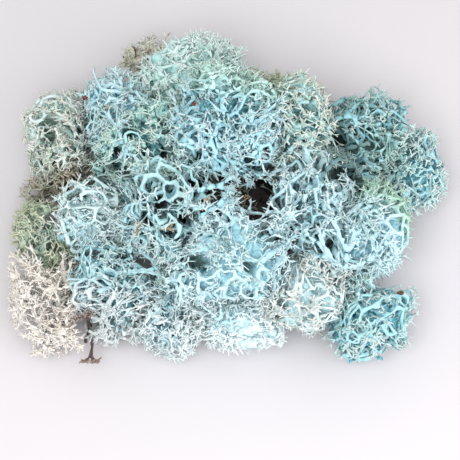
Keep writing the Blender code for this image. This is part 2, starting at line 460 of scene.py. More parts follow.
@dataclass(frozen=True)
class LichenFinish:
    """One dye of the lichen, in linear colours.

    Stem, twig and tip follow each other along the growth, and stain, thin dye and specks lie over them in
    patches. Inside the tuft a deeper, fuller colour is painted as shade, and the mat of old growth has its
    own colour, with litter in it. A tint comes in along its way: on some finishes the lichen's own colour,
    and on the pale front finishes painted light, the front washed paler. The hollows take a painted shade of
    their own colour, and a further painted shade makes the inside of the tuft darker by a set amount.
    """

    name: str
    slot: str
    stem: tuple
    twig: tuple
    tip: tuple
    stain: tuple
    old: tuple = (0.16, 0.46, 0.50)
    litter: tuple = (0.05, 0.15, 0.16)
    # The deeper colour painted inside the tuft, as shade.
    inner_shade_colour: tuple = (0.22, 0.58, 0.68)
    stain_share: float = 0.35
    # How much darker the inside of the tuft is painted, as shade.
    inner_shade_strength: float = 0.1
    # A tint along its way: the lichen's own colour on some finishes, painted light on the pale front ones.
    tint_and_painted_light: tuple | None = None
    tint_and_painted_light_way: tuple = (0.0, 0.0, 1.0)
    tint_and_painted_light_span: tuple = (0.0, 1.0)
    ragged: float = 16 * MM
    thin: tuple = (0.50, 0.66, 0.54)
    thin_share: float = 0.26
    # The colour of the painted shade in the hollows.
    painted_hollow_shade: tuple = (0.026, 0.018, 0.016)
    speck_share: float = 0.08
    speck: tuple = (0.26, 0.17, 0.12)
    powder_strength: float = 0.25
    powder_height: float = 0.12 * MM

    def material(self) -> bpy.types.Material:
        """The finish's material, made once."""
        return bpy.data.materials.get(self.name) or self.make()

    def make(self) -> bpy.types.Material:
        """Makes the material.

        Returns:
            A material that pales from the stems to the tips, with patches of stain and a powdery surface.
        """
        shader = ShaderTree(self.name)
        growth = shader.attribute("growth")
        inside = shader.attribute("inside")
        patches = shader.noise(*PATCHES)
        mottle = shader.noise(*MOTTLE)
        powder = shader.noise(*POWDER)
        crumbs = shader.noise(*CRUMBS)
        along = (growth + (mottle - NOISE_MIDDLE) * MOTTLED_GROWTH).clamped()
        colour = shader.blend(along.step(*TWIG_RISE), self.stem, self.twig)
        colour = shader.blend(along.step(*TIP_RISE), colour, self.tip)
        stained = patches + (growth - HALF_GROWN) * STAINED_GROWTH
        colour = shader.blend(stained.step(*STAIN_RISE) * self.stain_share, colour, self.stain)
        thin = shader.noise(*THIN_PATCHES).step(*THIN_RISE)
        colour = shader.blend(thin * self.thin_share, colour, self.thin)
        # A tint comes in along its way. On the pale front finishes it is painted light, the front washed
        # paler.
        if self.tint_and_painted_light:
            ragged = shader.along(self.tint_and_painted_light_way) + (patches - NOISE_MIDDLE) * self.ragged
            colour = shader.blend(ragged.step(*self.tint_and_painted_light_span), colour, self.tint_and_painted_light)
        # Inside the tuft a deeper colour is painted: painted shade.
        colour = shader.blend(inside.step(*INNER_SHADE_COLOUR_RISE) * INNER_SHADE_COLOUR_SHARE, colour, self.inner_shade_colour)
        old = shader.blend(crumbs.step(*LITTER_RISE), self.old, self.litter)
        aged = shader.attribute("age") * patches.varied(*PATCHY_AGE).clamped()
        colour = shader.blend(aged, colour, old)
        specks = shader.noise(*SPECKS).step(*SPECK_RISE)
        colour = shader.blend(specks * self.speck_share, colour, self.speck)
        # The hollows are painted dark, deeper under each hollow's mouth: painted shade.
        hollow_shade_share = (shader.attribute("painted_hollow_shade") * crumbs.varied(*CRUMBLY_HOLLOW_SHADE)).clamped()
        colour = shader.blend(hollow_shade_share, colour, self.painted_hollow_shade)
        # The inside of the tuft is painted darker, as painted shade, and mottle lies over it.
        shade = 1.0 - inside.step(*SHADE_RISE) * self.inner_shade_strength
        shade = shade * mottle.varied(*MOTTLED_SHADE)
        grey = shader.node("ShaderNodeCombineColor", {}, {"Red": shade, "Green": shade, "Blue": shade})
        multiply = {"data_type": "RGBA", "blend_type": "MULTIPLY"}
        colour = shader.node("ShaderNodeMix", multiply, {0: 1.0, 6: colour, 7: grey}, 2)
        powdery = shader.bump(powder, self.powder_strength, self.powder_height)
        shader.set(Base_Color=colour, Roughness=powder.varied(*LICHEN_ROUGHNESS), Normal=powdery,
                   Subsurface_Weight=SOFTNESS, Subsurface_Radius=SOFT_COLOURS, Subsurface_Scale=SOFT_DEPTH)
        return shader.material


@dataclass(frozen=True)
class LitterFinish:
    """Dark brown bark and bud scale."""

    name: str = "bark_and_bud"
    slot: str = "brown_litter"
    dark: tuple = (0.05, 0.012, 0.008)
    light: tuple = (0.24, 0.07, 0.03)
    grain_strength: float = 0.5
    grain_height: float = 0.2 * MM

    def material(self) -> bpy.types.Material:
        """The finish's material, made once."""
        return bpy.data.materials.get(self.name) or self.make()

    def make(self) -> bpy.types.Material:
        """Makes the material.

        Returns:
            A streaked brown with a rough surface.
        """
        shader = ShaderTree(self.name)
        grain = shader.noise(*GRAIN)
        colour = shader.blend(grain.step(*BARK_RISE), self.dark, self.light)
        rough = shader.bump(grain, self.grain_strength, self.grain_height)
        shader.set(Base_Color=colour, Roughness=grain.varied(*BARK_ROUGHNESS), Normal=rough)
        return shader.material


SKY = LichenFinish(
    "sky_lichen_fine", "sky_lichen", (0.44, 0.80, 0.93), (0.52, 0.85, 0.93), (0.70, 0.89, 0.89),
    (0.36, 0.72, 0.76), inner_shade_colour=(0.32, 0.70, 0.83), old=(0.24, 0.58, 0.66),
)
SKY_LIGHT = replace(
    SKY, name="sky_light_fine", stem=(0.54, 0.86, 0.97), twig=(0.64, 0.91, 0.97), tip=(0.72, 0.93, 0.95),
    inner_shade_colour=(0.44, 0.83, 0.95), old=(0.50, 0.82, 0.90), litter=(0.34, 0.62, 0.70), stain_share=0.2,
    painted_hollow_shade=(0.09, 0.16, 0.145),
)
SKY_BRIGHT = replace(
    SKY_LIGHT, name="sky_bright_fine", stem=(0.70, 0.95, 0.99), twig=(0.78, 0.97, 0.99),
    tip=(0.86, 0.99, 0.99), inner_shade_colour=(0.54, 0.87, 0.95), old=(0.70, 0.92, 0.97), litter=(0.56, 0.80, 0.84),
)
SKY_GREEN_RIM = replace(
    SKY_LIGHT, name="sky_green_rim_fine", tint_and_painted_light=(0.44, 0.68, 0.54), tint_and_painted_light_way=(0.6, 0.8, 0.0),
    tint_and_painted_light_span=(15 * MM, 26 * MM), painted_hollow_shade=(0.06, 0.07, 0.065),
)
# Its pale tint at the front is painted light: the front washed paler by the light.
SKY_PALE_FRONT = replace(
    SKY_LIGHT, name="sky_pale_front_fine", old=(0.74, 0.95, 0.98), litter=(0.60, 0.85, 0.89),
    tint_and_painted_light=(0.82, 0.96, 0.97), tint_and_painted_light_way=(0.0, -1.0, 0.0), tint_and_painted_light_span=(46 * MM, 60 * MM),
)
# Its pale tint at the front is painted light: the front washed paler by the light.
SKY_PALE_CORNER = replace(
    SKY, name="sky_pale_corner_fine", tint_and_painted_light=(0.74, 0.84, 0.84), tint_and_painted_light_way=(0.0, -1.0, 0.0),
    tint_and_painted_light_span=(40 * MM, 54 * MM), old=(0.12, 0.34, 0.38), litter=(0.05, 0.06, 0.05),
)
SKY_MINT_BACK = replace(
    SKY, name="sky_mint_back_fine", inner_shade_colour=(0.30, 0.68, 0.79), old=(0.20, 0.52, 0.60), tint_and_painted_light=(0.58, 0.84, 0.74),
    tint_and_painted_light_way=(0.2, 1.0, 0.0), tint_and_painted_light_span=(20 * MM, 34 * MM), painted_hollow_shade=(0.045, 0.12, 0.13),
)
SKY_OVER_BROWN = replace(
    SKY, name="sky_over_brown_fine", stem=(0.46, 0.78, 0.87), twig=(0.53, 0.82, 0.86),
    tip=(0.74, 0.92, 0.90), inner_shade_colour=(0.22, 0.54, 0.62), old=(0.12, 0.30, 0.33), litter=(0.06, 0.03, 0.024),
    painted_hollow_shade=(0.036, 0.026, 0.024),
)
SKY_RIGHT = replace(
    SKY_OVER_BROWN, name="sky_right_fine", stem=(0.54, 0.82, 0.91), twig=(0.62, 0.87, 0.90),
    tip=(0.76, 0.94, 0.94), inner_shade_colour=(0.28, 0.64, 0.75), old=(0.18, 0.40, 0.44),
)
PALE = LichenFinish(
    "pale_lichen_fine", "mint_lichen", (0.60, 0.81, 0.87), (0.68, 0.82, 0.81), (0.78, 0.81, 0.75),
    (0.50, 0.79, 0.80), inner_shade_colour=(0.45, 0.78, 0.84), old=(0.60, 0.84, 0.88), litter=(0.40, 0.62, 0.66),
    stain_share=0.2,
)
AQUA = LichenFinish(
    "aqua_lichen_fine", "mint_lichen", (0.36, 0.70, 0.79), (0.45, 0.75, 0.78), (0.68, 0.84, 0.79),
    (0.30, 0.66, 0.70), inner_shade_colour=(0.14, 0.48, 0.60), old=(0.16, 0.48, 0.56), litter=(0.08, 0.30, 0.36),
)
CREAM = LichenFinish(
    "cream_lichen_fine", "mint_lichen", (0.40, 0.75, 0.82), (0.52, 0.80, 0.80), (0.84, 0.92, 0.79),
    (0.40, 0.64, 0.54), inner_shade_colour=(0.24, 0.62, 0.74), old=(0.18, 0.50, 0.57), painted_hollow_shade=(0.05, 0.08, 0.07),
)
MINT = LichenFinish(
    "mint_lichen_fine", "mint_lichen", (0.42, 0.78, 0.81), (0.52, 0.85, 0.82), (0.75, 0.94, 0.85),
    (0.42, 0.76, 0.64), inner_shade_colour=(0.24, 0.62, 0.70),
)
MINT_LIGHT = replace(
    MINT, name="mint_light_fine", stem=(0.64, 0.98, 0.97), twig=(0.76, 0.99, 0.95), tip=(0.84, 0.99, 0.95),
    stain=(0.54, 0.88, 0.78), inner_shade_colour=(0.58, 0.92, 0.93), old=(0.60, 0.90, 0.90), litter=(0.48, 0.76, 0.75),
    stain_share=0.25, thin_share=0.1,
)
# Its tint makes the teal darker towards its left, the side towards the heap's middle.
TEAL = LichenFinish(
    "teal_lichen_fine", "teal_lichen", (0.28, 0.58, 0.63), (0.36, 0.66, 0.69), (0.62, 0.80, 0.76),
    (0.18, 0.40, 0.38), old=(0.08, 0.19, 0.19), litter=(0.05, 0.10, 0.09), inner_shade_colour=(0.10, 0.34, 0.38),
    stain_share=0.6, painted_hollow_shade=(0.08, 0.16, 0.16), tint_and_painted_light=(0.11, 0.17, 0.16), tint_and_painted_light_way=(-1.0, -0.3, 0.0),
    tint_and_painted_light_span=(-54 * MM, -44 * MM),
)
OLIVE = LichenFinish(
    "olive_lichen_fine", "olive_lichen", (0.45, 0.66, 0.56), (0.54, 0.68, 0.52), (0.73, 0.78, 0.59),
    (0.37, 0.45, 0.24), old=(0.42, 0.54, 0.46), litter=(0.20, 0.19, 0.13), inner_shade_colour=(0.40, 0.62, 0.58),
    stain_share=0.6, painted_hollow_shade=(0.10, 0.10, 0.07), speck_share=0.4,
)
OLIVE_COOL = replace(
    OLIVE, name="olive_cool_fine", stem=(0.64, 0.90, 0.92), twig=(0.78, 0.95, 0.90), tip=(0.95, 0.98, 0.90),
    old=(0.54, 0.76, 0.73), litter=(0.32, 0.34, 0.26), inner_shade_colour=(0.52, 0.80, 0.80), stain_share=0.4,
    painted_hollow_shade=(0.12, 0.20, 0.19),
)
BOUGH = replace(SKY, name="bough_fine", stem=(0.48, 0.76, 0.87), twig=(0.54, 0.82, 0.90), thin_share=0.15)
STRAW = LichenFinish(
    "straw_lichen_fine", "straw_lichen", (0.95, 0.95, 0.89), (0.98, 0.97, 0.89), (0.99, 0.98, 0.92),
    (0.78, 0.63, 0.45), old=(0.97, 0.95, 0.89), litter=(0.84, 0.76, 0.62), inner_shade_colour=(0.93, 0.95, 0.91),
    stain_share=0.3, thin=(0.74, 0.88, 0.86), thin_share=0.5, speck_share=0.4, painted_hollow_shade=(0.36, 0.31, 0.25),
)
TAN = LichenFinish(
    "tan_twig", "straw_lichen", (0.42, 0.27, 0.15), (0.56, 0.40, 0.25), (0.66, 0.50, 0.34),
    (0.30, 0.16, 0.09), inner_shade_colour=(0.40, 0.26, 0.15),
)
DEAD = LichenFinish(
    "dead_lichen_fine", "dead_lichen", (0.09, 0.08, 0.06), (0.22, 0.20, 0.15), (0.48, 0.46, 0.36),
    (0.06, 0.12, 0.13), old=(0.045, 0.038, 0.033), litter=(0.028, 0.022, 0.02), inner_shade_colour=(0.05, 0.05, 0.04),
    stain_share=0.5,
)
# A darker copy of the teal: painted shade, for the sprays in the dark gap at the back.
TEAL_PAINTED_SHADE = replace(
    TEAL, name="teal_painted_shade_fine", stem=(0.14, 0.27, 0.28), twig=(0.17, 0.31, 0.31), tip=(0.26, 0.42, 0.40),
    stain=(0.16, 0.22, 0.16), tint_and_painted_light=None,
)
STRAW_TAN = replace(
    STRAW, name="straw_tan_fine", stem=(0.58, 0.50, 0.34), twig=(0.70, 0.65, 0.48), tip=(0.80, 0.80, 0.64),
    stain=(0.52, 0.60, 0.44), speck_share=0.7,
)
DEAD_WIRY = replace(
    DEAD, name="dead_wiry_fine", stem=(0.25, 0.20, 0.15), twig=(0.46, 0.40, 0.31), tip=(0.62, 0.56, 0.44),
    stain=(0.40, 0.40, 0.29), old=(0.23, 0.19, 0.15), litter=(0.11, 0.09, 0.08), inner_shade_colour=(0.16, 0.15, 0.12),
)
DEAD_TWIG = replace(
    DEAD, name="dead_twig", stem=(0.09, 0.06, 0.055), twig=(0.20, 0.14, 0.12), tip=(0.42, 0.31, 0.25),
    stain=(0.16, 0.10, 0.08),
)
LITTER = LitterFinish()


def land(hulls: list[BVHTree], right: float, up: float) -> Vector:
    """Where the line of sight through a place of the picture meets the heap, or else the floor.

    Args:
        hulls: The hulls of the tufts.
        right: How far the place is to the right of the heap's middle.
        up: How far it is up the picture.

    Returns:
        The nearest place that the line meets.
    """
    seen = AIM + Vector((right, 0, 0)) + PICTURE_UP * up
    start = seen + TO_CAMERA * VIEW_DISTANCE / 2
    hits = [hull.ray_cast(start, -TO_CAMERA) for hull in hulls]
    places = [hit[0] for hit in hits if hit[0]]
    if places:
        return max(places, key=lambda place: place.dot(TO_CAMERA))
    return seen - TO_CAMERA * (seen.z / TO_CAMERA.z)


@dataclass(frozen=True)
class Hollow:
    """A place between the tufts where little grows, painted darker the deeper it goes, as shade. A clearing
    is a hollow without that painted shade.

    Its middle is given in millimetres to the right of the heap's middle and up the picture.
    """

    right: float
    up: float
    radius: float
    darkness: float = 1.0

    def share(self, places: np.ndarray, mouth: Vector) -> np.ndarray:
        """How far inside the hollow places are across it.

        Args:
            places: The places, one a row.
            mouth: Where the line of sight through the hollow's middle meets the heap.

        Returns:
            A share for each place: 1 in the hollow's middle and 0 past its rim.
        """
        offset = places - np.array(mouth)
        away = np.linalg.norm(offset - np.outer(offset @ np.array(TO_CAMERA), np.array(TO_CAMERA)), axis=1)
        return np.clip((HOLLOW_END - away / (self.radius * MM)) / HOLLOW_FADE, 0, 1)

    def painted_hollow_shade(self, places: np.ndarray, mouth: Vector) -> np.ndarray:
        """How much painted shade places get: more the deeper they lie under the hollow's mouth.

        Args:
            places: The places, one a row.
            mouth: Where the line of sight through the hollow's middle meets the heap.

        Returns:
            A share for each place, which stays the same from whichever side it is seen.
        """
        depth = (np.array(mouth) - places) @ np.array(TO_CAMERA)
        dark = np.clip((depth - HOLLOW_SHADE_START) / HOLLOW_SHADE_RISE, 0, 1)
        return self.share(places, mouth) * dark * self.darkness


@dataclass(frozen=True)
class Room:
    """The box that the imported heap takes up, its hollows with their mouths, and how it has settled.

    The sway bends whole stems and the curl bends them finely, and next to the floor both only shift them
    sideways. The finer pieces keep a margin from the box's sides, and twigs a wider one.
    """

    low: Vector
    high: Vector
    hollows: tuple = ()
    mouths: tuple = ()
    sway: float = 1.7 * MM
    sway_waves: float = 55.0
    curl: float = 0.45 * MM
    curl_waves: float = 250.0
    floor_hold: float = 9 * MM
    margin: float = 1.6 * MM
    twig_margin: float = 3 * MM

    def hollowness(self, places: np.ndarray) -> np.ndarray:
        """How far inside any hollow places are."""
        shares = [hollow.share(places, mouth) for hollow, mouth in zip(self.hollows, self.mouths)]
        return np.max(shares, axis=0)

    def painted_hollow_shade(self, places: np.ndarray) -> np.ndarray:
        """How much painted shade the hollows give places."""
        hollow_shades = [hollow.painted_hollow_shade(places, mouth) for hollow, mouth in zip(self.hollows, self.mouths)]
        return np.max(hollow_shades, axis=0)

    def keep(self, place: Vector, margin: float = 0.0) -> Vector:
        """Moves a place that is outside the box, or nearer its sides than a margin, back into it."""
        sides = zip(place, self.low, self.high)
        return Vector(min(max(value, least + margin), most - margin) for value, least, most in sides)

    def distance(self, origin: Vector, direction: Vector) -> float:
        """How far the box's side is from a place inside it, less the margin.

        Args:
            origin: The place.
            direction: Which way to look.

        Returns:
            The distance, or nought where the place lies in the margin.
        """
        ways = []
        for start, step, least, most in zip(origin, direction, self.low, self.high):
            if abs(step) > TINY:
                ways.append(((most if step > 0 else least) - start) / step)
        return max(min(ways) - self.margin, 0.0)

    def settle(self, place: Vector) -> Vector:
        """Shifts a place as the heap has settled there: neighbours move alike, so nothing crosses.

        Args:
            place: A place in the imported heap.

        Returns:
            Where it has come to lie.
        """
        shift = noise.noise_vector(place * self.sway_waves) * self.sway * 2
        shift += noise.noise_vector(place * self.curl_waves) * self.curl * 2
        shift.z *= min(max(place.z / self.floor_hold, 0.0), 1.0)
        return self.keep(place + shift)


def corner_numbers(part: "bmesh.types.BMFace | bmesh.types.BMEdge") -> list[int]:
    """The numbers of a face's or an edge's corners, to put parts of a hull in the same order each time."""
    return sorted(corner.index for corner in part.verts)


class Envelope:
    """The space that a packed tuft takes up: the hull of its solid."""

    def __init__(self, node: str, solid: bpy.types.Object, room: Room) -> None:
        """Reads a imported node.

        Args:
            node: The node's name.
            solid: Its object.
            room: The box that the whole heap takes up.
        """
        self.room = room
        low, high = (Vector(corner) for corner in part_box(node))
        self.middle = (low + high) / 2
        self.half = (high - low) / 2
        hull = bmesh.new()
        hull.from_mesh(solid.data)
        made = bmesh.ops.convex_hull(hull, input=hull.verts)
        left_over = made["geom_interior"] + made["geom_unused"]
        inner = [part for part in left_over if isinstance(part, bmesh.types.BMVert)]
        bmesh.ops.delete(hull, geom=inner, context="VERTS")
        hull.verts.index_update()
        self.corners = [vertex.co.copy() for vertex in hull.verts]
        faces = sorted(hull.faces, key=corner_numbers)
        self.tree = BVHTree.FromPolygons(self.corners, [corner_numbers(face) for face in faces])
        hull.free()
        away = self.middle - (room.low + room.high) / 2
        size = room.high - room.low
        self.outward = Vector((away.x / size.x, away.y / size.y, 0)) * 2

    def at(self, shares: tuple[float, float, float]) -> Vector:
        """A place given as shares of the half-sizes, counted from the middle."""
        return self.middle + Vector(share * size for share, size in zip(shares, self.half))

    def spare(self, direction: Vector) -> float:
        """How freely the tuft grows past its hull: 1 towards the heap's middle, and 0 out of the heap."""
        return min(max(1 - OUTER_HOLD * direction.dot(self.outward), 0.0), 1.0)

    def longest(self, origin: Vector) -> float:
        """How far the hull's furthest corner is from a place."""
        return max((corner - origin).length for corner in self.corners)

    def reach(self, origin: Vector, direction: Vector) -> float:
        """How far the hull is from a place inside it.

        Args:
            origin: Where to start.
            direction: Which way to look.

        Returns:
            The distance, or nought where the start isn't inside.
        """
        distance = self.tree.ray_cast(origin, direction)[3]
        return distance or 0.0

    def depth(self, place: Vector) -> float:
        """How deep inside the tuft a place is.

        Args:
            place: The place.

        Returns:
            A share: 0 at the tuft's hull or past it, and 1 at its middle.
        """
        away = place - self.middle
        if away.length < TINY:
            return 1.0
        reach = self.reach(self.middle, away.normalized())
        return min(max(1 - away.length / max(reach, TINY), 0.0), 1.0)


@dataclass
class Stem:
    """A length of stem between two forks, or between a fork and a tip."""

    start: Vector
    end: Vector
    tips: int
    children: list["Stem"]

    @property
    def way(self) -> Vector:
        """The direction from the start to the end."""
        return (self.end - self.start).normalized()


@dataclass(frozen=True)
class Forking:
    """How a tuft's stems fork and how thick they are.

    A stem covers at least its stretch of the way to its tips, and less the wider they spread. The halving
    is the share of the tips that goes to its first branch. Its direction at a fork leads a little towards
    the heavier branch, and the saddle between them lies so many radii out. A longer stem bends by a share
    of its length, with rings at the shares that its bends give. A twig ends in a star of prongs round a
    small hollow.
    """

    tip_radius: float = 0.35 * MM
    thickening: float = 0.40
    thickest: float = 1.2 * MM
    stretch: float = 0.55
    stretch_range: tuple = (0.8, 1.15)
    spread: float = 0.95
    shortest: float = 0.7 * MM
    shortest_share: float = 0.6
    halving: tuple = (0.38, 0.62)
    web_width: float = 1.1
    web_fades: float = 40.0
    flatness: float = 0.3
    lead: float = 0.6
    saddle: float = 0.9
    bend: float = 0.10
    short_from: float = 6
    short_bends: tuple = (0.4,)
    long_from: float = 9
    long_bends: tuple = (0.22, 0.6)
    bend_width: float = 0.92
    star_width: float = 1.25
    star_hollow: float = 0.7
    prong_lean: tuple = (0.35, 1.15)
    prong_length: tuple = (1.3 * MM, 2.8 * MM)
    prong_taper: float = 0.75

    def radius(self, tips: int) -> float:
        """The radius of a stem that carries so many tips."""
        return min(self.tip_radius * tips ** self.thickening, self.thickest)

    def web(self, tips: int) -> float:
        """How wide a fork is for its thickness, where its stem carries so many tips."""
        return 1 + self.web_width / (1 + tips / self.web_fades) + self.flatness / 2

    def grow(self, start: np.ndarray, targets: np.ndarray, draw: np.random.Generator) -> Stem:
        """Grows a stem from a place towards its targets, and what forks from it.

        Args:
            start: Where the stem starts.
            targets: The tips that it has to reach, one a row.
            draw: The random draw.

        Returns:
            The stem, with its children.
        """
        if len(targets) == 1:
            return Stem(Vector(start), Vector(targets[0]), 1, [])
        centre = targets.mean(axis=0)
        away = centre - start
        distance = max(float(np.linalg.norm(away)), TINY)
        way = away / distance
        spread = targets - centre
        lateral = spread - np.outer(spread @ way, way)
        width = math.sqrt(float((lateral ** 2).sum(axis=1).mean()))
        stretched = self.stretch * distance * draw.uniform(*self.stretch_range)
        length = max(distance - self.spread * width, stretched)
        end = start + way * max(length, min(self.shortest, self.shortest_share * distance))
        axis = np.linalg.eigh(lateral.T @ lateral)[1][:, -1]
        order = np.argsort(lateral @ axis)
        cut = round(len(targets) * draw.uniform(*self.halving))
        cut = min(max(cut, 1), len(targets) - 1)
        halves = (targets[order[:cut]], targets[order[cut:]])
        children = [self.grow(end, half, draw) for half in halves]
        return Stem(Vector(start), Vector(end), len(targets), children)


class Skin:
    """One closed skin over a tree of stems, with a web in each fork."""

    def __init__(self, forking: Forking, most_tips: int, middle: Vector, draw: np.random.Generator,
                 depth_of: Callable[[Vector], float] = lambda place: 0.0) -> None:
        """Starts an empty skin.

        Args:
            forking: How thick the stems are.
            most_tips: How many tips the trunk carries.
            middle: The middle of what it covers.
            draw: The random draw.
            depth_of: Gives how deep inside the tuft a place is, from 0 to 1.
        """
        self.middle = middle
        self.forking = forking
        self.draw = draw
        self.most = math.log(max(most_tips, 2))
        self.depth_of = depth_of
        self.points: list[Vector] = []
        self.faces: list[tuple[int, ...]] = []
        self.growth: list[float] = []
        self.ages: list[float] = []
        self.age = 0.0

    def add(self, place: Vector, tips: int) -> int:
        """Adds a point, with its growth and age.

        Args:
            place: Where it lies.
            tips: How many tips its stem carries, or nought for a finger's end.

        Returns:
            Its number.
        """
        self.points.append(place)
        self.growth.append(TWIG_GROWTH * (1 - math.log(tips) / self.most) if tips else 1.0)
        self.ages.append(self.age)
        return len(self.points) - 1

    def sides(self, radius: float) -> int:
        """How many points a ring of a radius has."""
        return next((count for least, count in RING_POINTS if radius > least), FEWEST_POINTS)

    def ring(self, middle: Vector, way: Vector, across: Vector, radius: float, tips: int,
             width: float = 1.0, count: int = 0) -> list[int]:
        """Adds a ring square to a stem, whose first point is square to the fork's plane.

        Args:
            middle: The ring's middle.
            way: The stem's direction.
            across: The direction in which the fork spreads.
            radius: The ring's radius.
            tips: How many tips the stem carries.
            width: How much wider the ring is across the fork.
            count: How many points it has, or nought for as many as suit the radius.

        Returns:
            The ring's points, turning left round the stem.
        """
        flat = (across - way * across.dot(way)).normalized()
        upright = way.cross(flat)
        count = count or self.sides(radius)
        ring = []
        for number in range(count):
            angle = math.pi / 2 + math.tau * number / count
            spoke = flat * math.cos(angle) * width + upright * math.sin(angle)
            ring.append(self.add(middle + spoke * radius, tips))
        return ring

    def bridge(self, low: list[int], high: list[int]) -> None:
        """Joins two loops of points with triangles, by the shorter way across each time.

        Args:
            low: The loop nearer the root.
            high: The loop further out, turning the same way.
        """
        first = self.points[low[0]]
        away = [(self.points[point] - first).length_squared for point in high]
        nearest = away.index(min(away))
        high = high[nearest:] + high[:nearest]
        i = j = 0
        while i < len(low) or j < len(high):
            here, there = low[i % len(low)], high[j % len(high)]
            next_low, next_high = low[(i + 1) % len(low)], high[(j + 1) % len(high)]
            over_low = (self.points[next_low] - self.points[there]).length_squared
            over_high = (self.points[next_high] - self.points[here]).length_squared
            if j >= len(high) or (i < len(low) and over_low * (j + 1) <= over_high * (i + 1)):
                self.faces.append((here, next_low, there))
                i += 1
            else:
                self.faces.append((here, next_high, there))
                j += 1

    def follow(self, stem: Stem, base: list[int], heading: Vector) -> None:
        """Skins a stem and all that forks from it.

        Args:
            stem: The stem.
            base: The loop that it starts from.
            heading: The direction of the stem before it.
        """
        if not stem.children and self.age:
            self.point(stem, base)
            return
        if not stem.children:
            self.star(stem, base)
            return
        first, second = stem.children
        ahead = (first.way * first.tips + second.way * second.tips).normalized()
        way = (stem.way + self.forking.lead * ahead).normalized()
        across = first.way - second.way
        if across.length < PARALLEL:
            across = way.orthogonal()
        radius = self.forking.radius(stem.tips)
        base = self.bend(stem, base, heading, across, radius)
        web = self.forking.web(stem.tips)
        ring = self.ring(stem.end, way, across, radius, stem.tips, web)
        self.bridge(base, ring)
        half = len(ring) // 2
        saddle = self.add(stem.end + way * radius * self.forking.saddle, stem.tips)
        flat = across - way * across.dot(way)
        near, far = ring[half:] + ring[:1] + [saddle], ring[:half + 1] + [saddle]
        right, left = sorted(stem.children, key=lambda child: child.way.dot(flat))
        self.follow(left, near, way)
        self.follow(right, far, way)

    def point(self, stem: Stem, base: list[int]) -> None:
        """Ends a twig in a plain point.

        Args:
            stem: The twig.
            base: The loop that it starts from.
        """
        apex = self.add(stem.end, 1)
        for number, point in enumerate(base):
            self.faces.append((point, base[(number + 1) % len(base)], apex))

    def star(self, stem: Stem, base: list[int]) -> None:
        """Ends a twig in a star of prongs round a small hollow.

        Args:
            stem: The twig.
            base: The loop that it starts from.
        """
        way = stem.way
        across = Vector(self.draw.normal(0, 1, 3))
        radius = self.forking.radius(1)
        middle = stem.end - way * radius
        ring = self.ring(middle, way, across, radius * self.forking.star_width, 1, count=3)
        self.bridge(base, ring)
        self.prongs(ring, middle, way, radius)

    def prongs(self, ring: list[int], middle: Vector, way: Vector, radius: float) -> None:
        """Closes a ring with a star of prongs round a small hollow.

        Args:
            ring: The ring's points, turning left round the stem.
            middle: The ring's middle.
            way: The stem's direction.
            radius: The stem's radius.
        """
        taper = self.forking.prong_taper
        hollow = self.add(middle + way * radius * self.forking.star_hollow, 1)
        for number, point in enumerate(ring):
            foot = (point, ring[(number + 1) % len(ring)], hollow)
            centre = sum((self.points[corner] for corner in foot), Vector()) / 3
            outward = ((self.points[foot[0]] + self.points[foot[1]]) / 2 - middle).normalized()
            lean = self.draw.uniform(*self.forking.prong_lean)
            length = self.draw.uniform(*self.forking.prong_length)
            prong = (way * math.cos(lean) + outward * math.sin(lean)) * length
            apex = self.add(centre + prong, 0)
            neck = [self.add(centre + (self.points[corner] - centre + prong) * taper, 0) for corner in foot]
            for side in range(3):
                after = (side + 1) % 3
                self.faces.append((foot[side], foot[after], neck[after], neck[side]))
                self.faces.append((neck[side], neck[after], apex))

    def bend(self, stem: Stem, base: list[int], heading: Vector, across: Vector, radius: float) -> list[int]:
        """Leads a longer stem round a gentle bend, by rings between its ends.

        Args:
            stem: The stem.
            base: The loop that it starts from.
            heading: The direction of the stem before it.
            across: The direction in which its own fork spreads.
            radius: The stem's radius.

        Returns:
            The loop that the stem's last stretch starts from.
        """
        forking = self.forking
        chord = stem.end - stem.start
        if chord.length < forking.short_from * radius:
            return base
        outward = stem.way - heading * stem.way.dot(heading)
        bulge = outward * chord.length * forking.bend
        is_long = chord.length > forking.long_from * radius
        for share in forking.long_bends if is_long else forking.short_bends:
            place = stem.start + chord * share + bulge * 4 * share * (1 - share)
            slope = (chord + bulge * 4 * (1 - 2 * share)).normalized()
            width = 1 + forking.flatness
            ring = self.ring(place, slope, across, radius * forking.bend_width, stem.tips, width)
            self.bridge(base, ring)
            base = ring
        return base

    def root(self, stem: Stem) -> None:
        """Skins a whole tree from its rounded heel.

        Args:
            stem: The trunk.
        """
        radius = self.forking.radius(stem.tips)
        across = stem.way.orthogonal()
        heel = self.add(stem.start - stem.way * radius * HEEL_LENGTH, stem.tips)
        rounding = stem.start - stem.way * radius * HEEL_ROUNDING
        small = self.ring(rounding, stem.way, across, radius * HEEL_NARROW, stem.tips)
        wide = self.ring(stem.start, stem.way, across, radius * HEEL_WIDE, stem.tips)
        for number, point in enumerate(small):
            self.faces.append((point, heel, small[(number + 1) % len(small)]))
        self.bridge(small, wide)
        self.follow(stem, wide, stem.way)

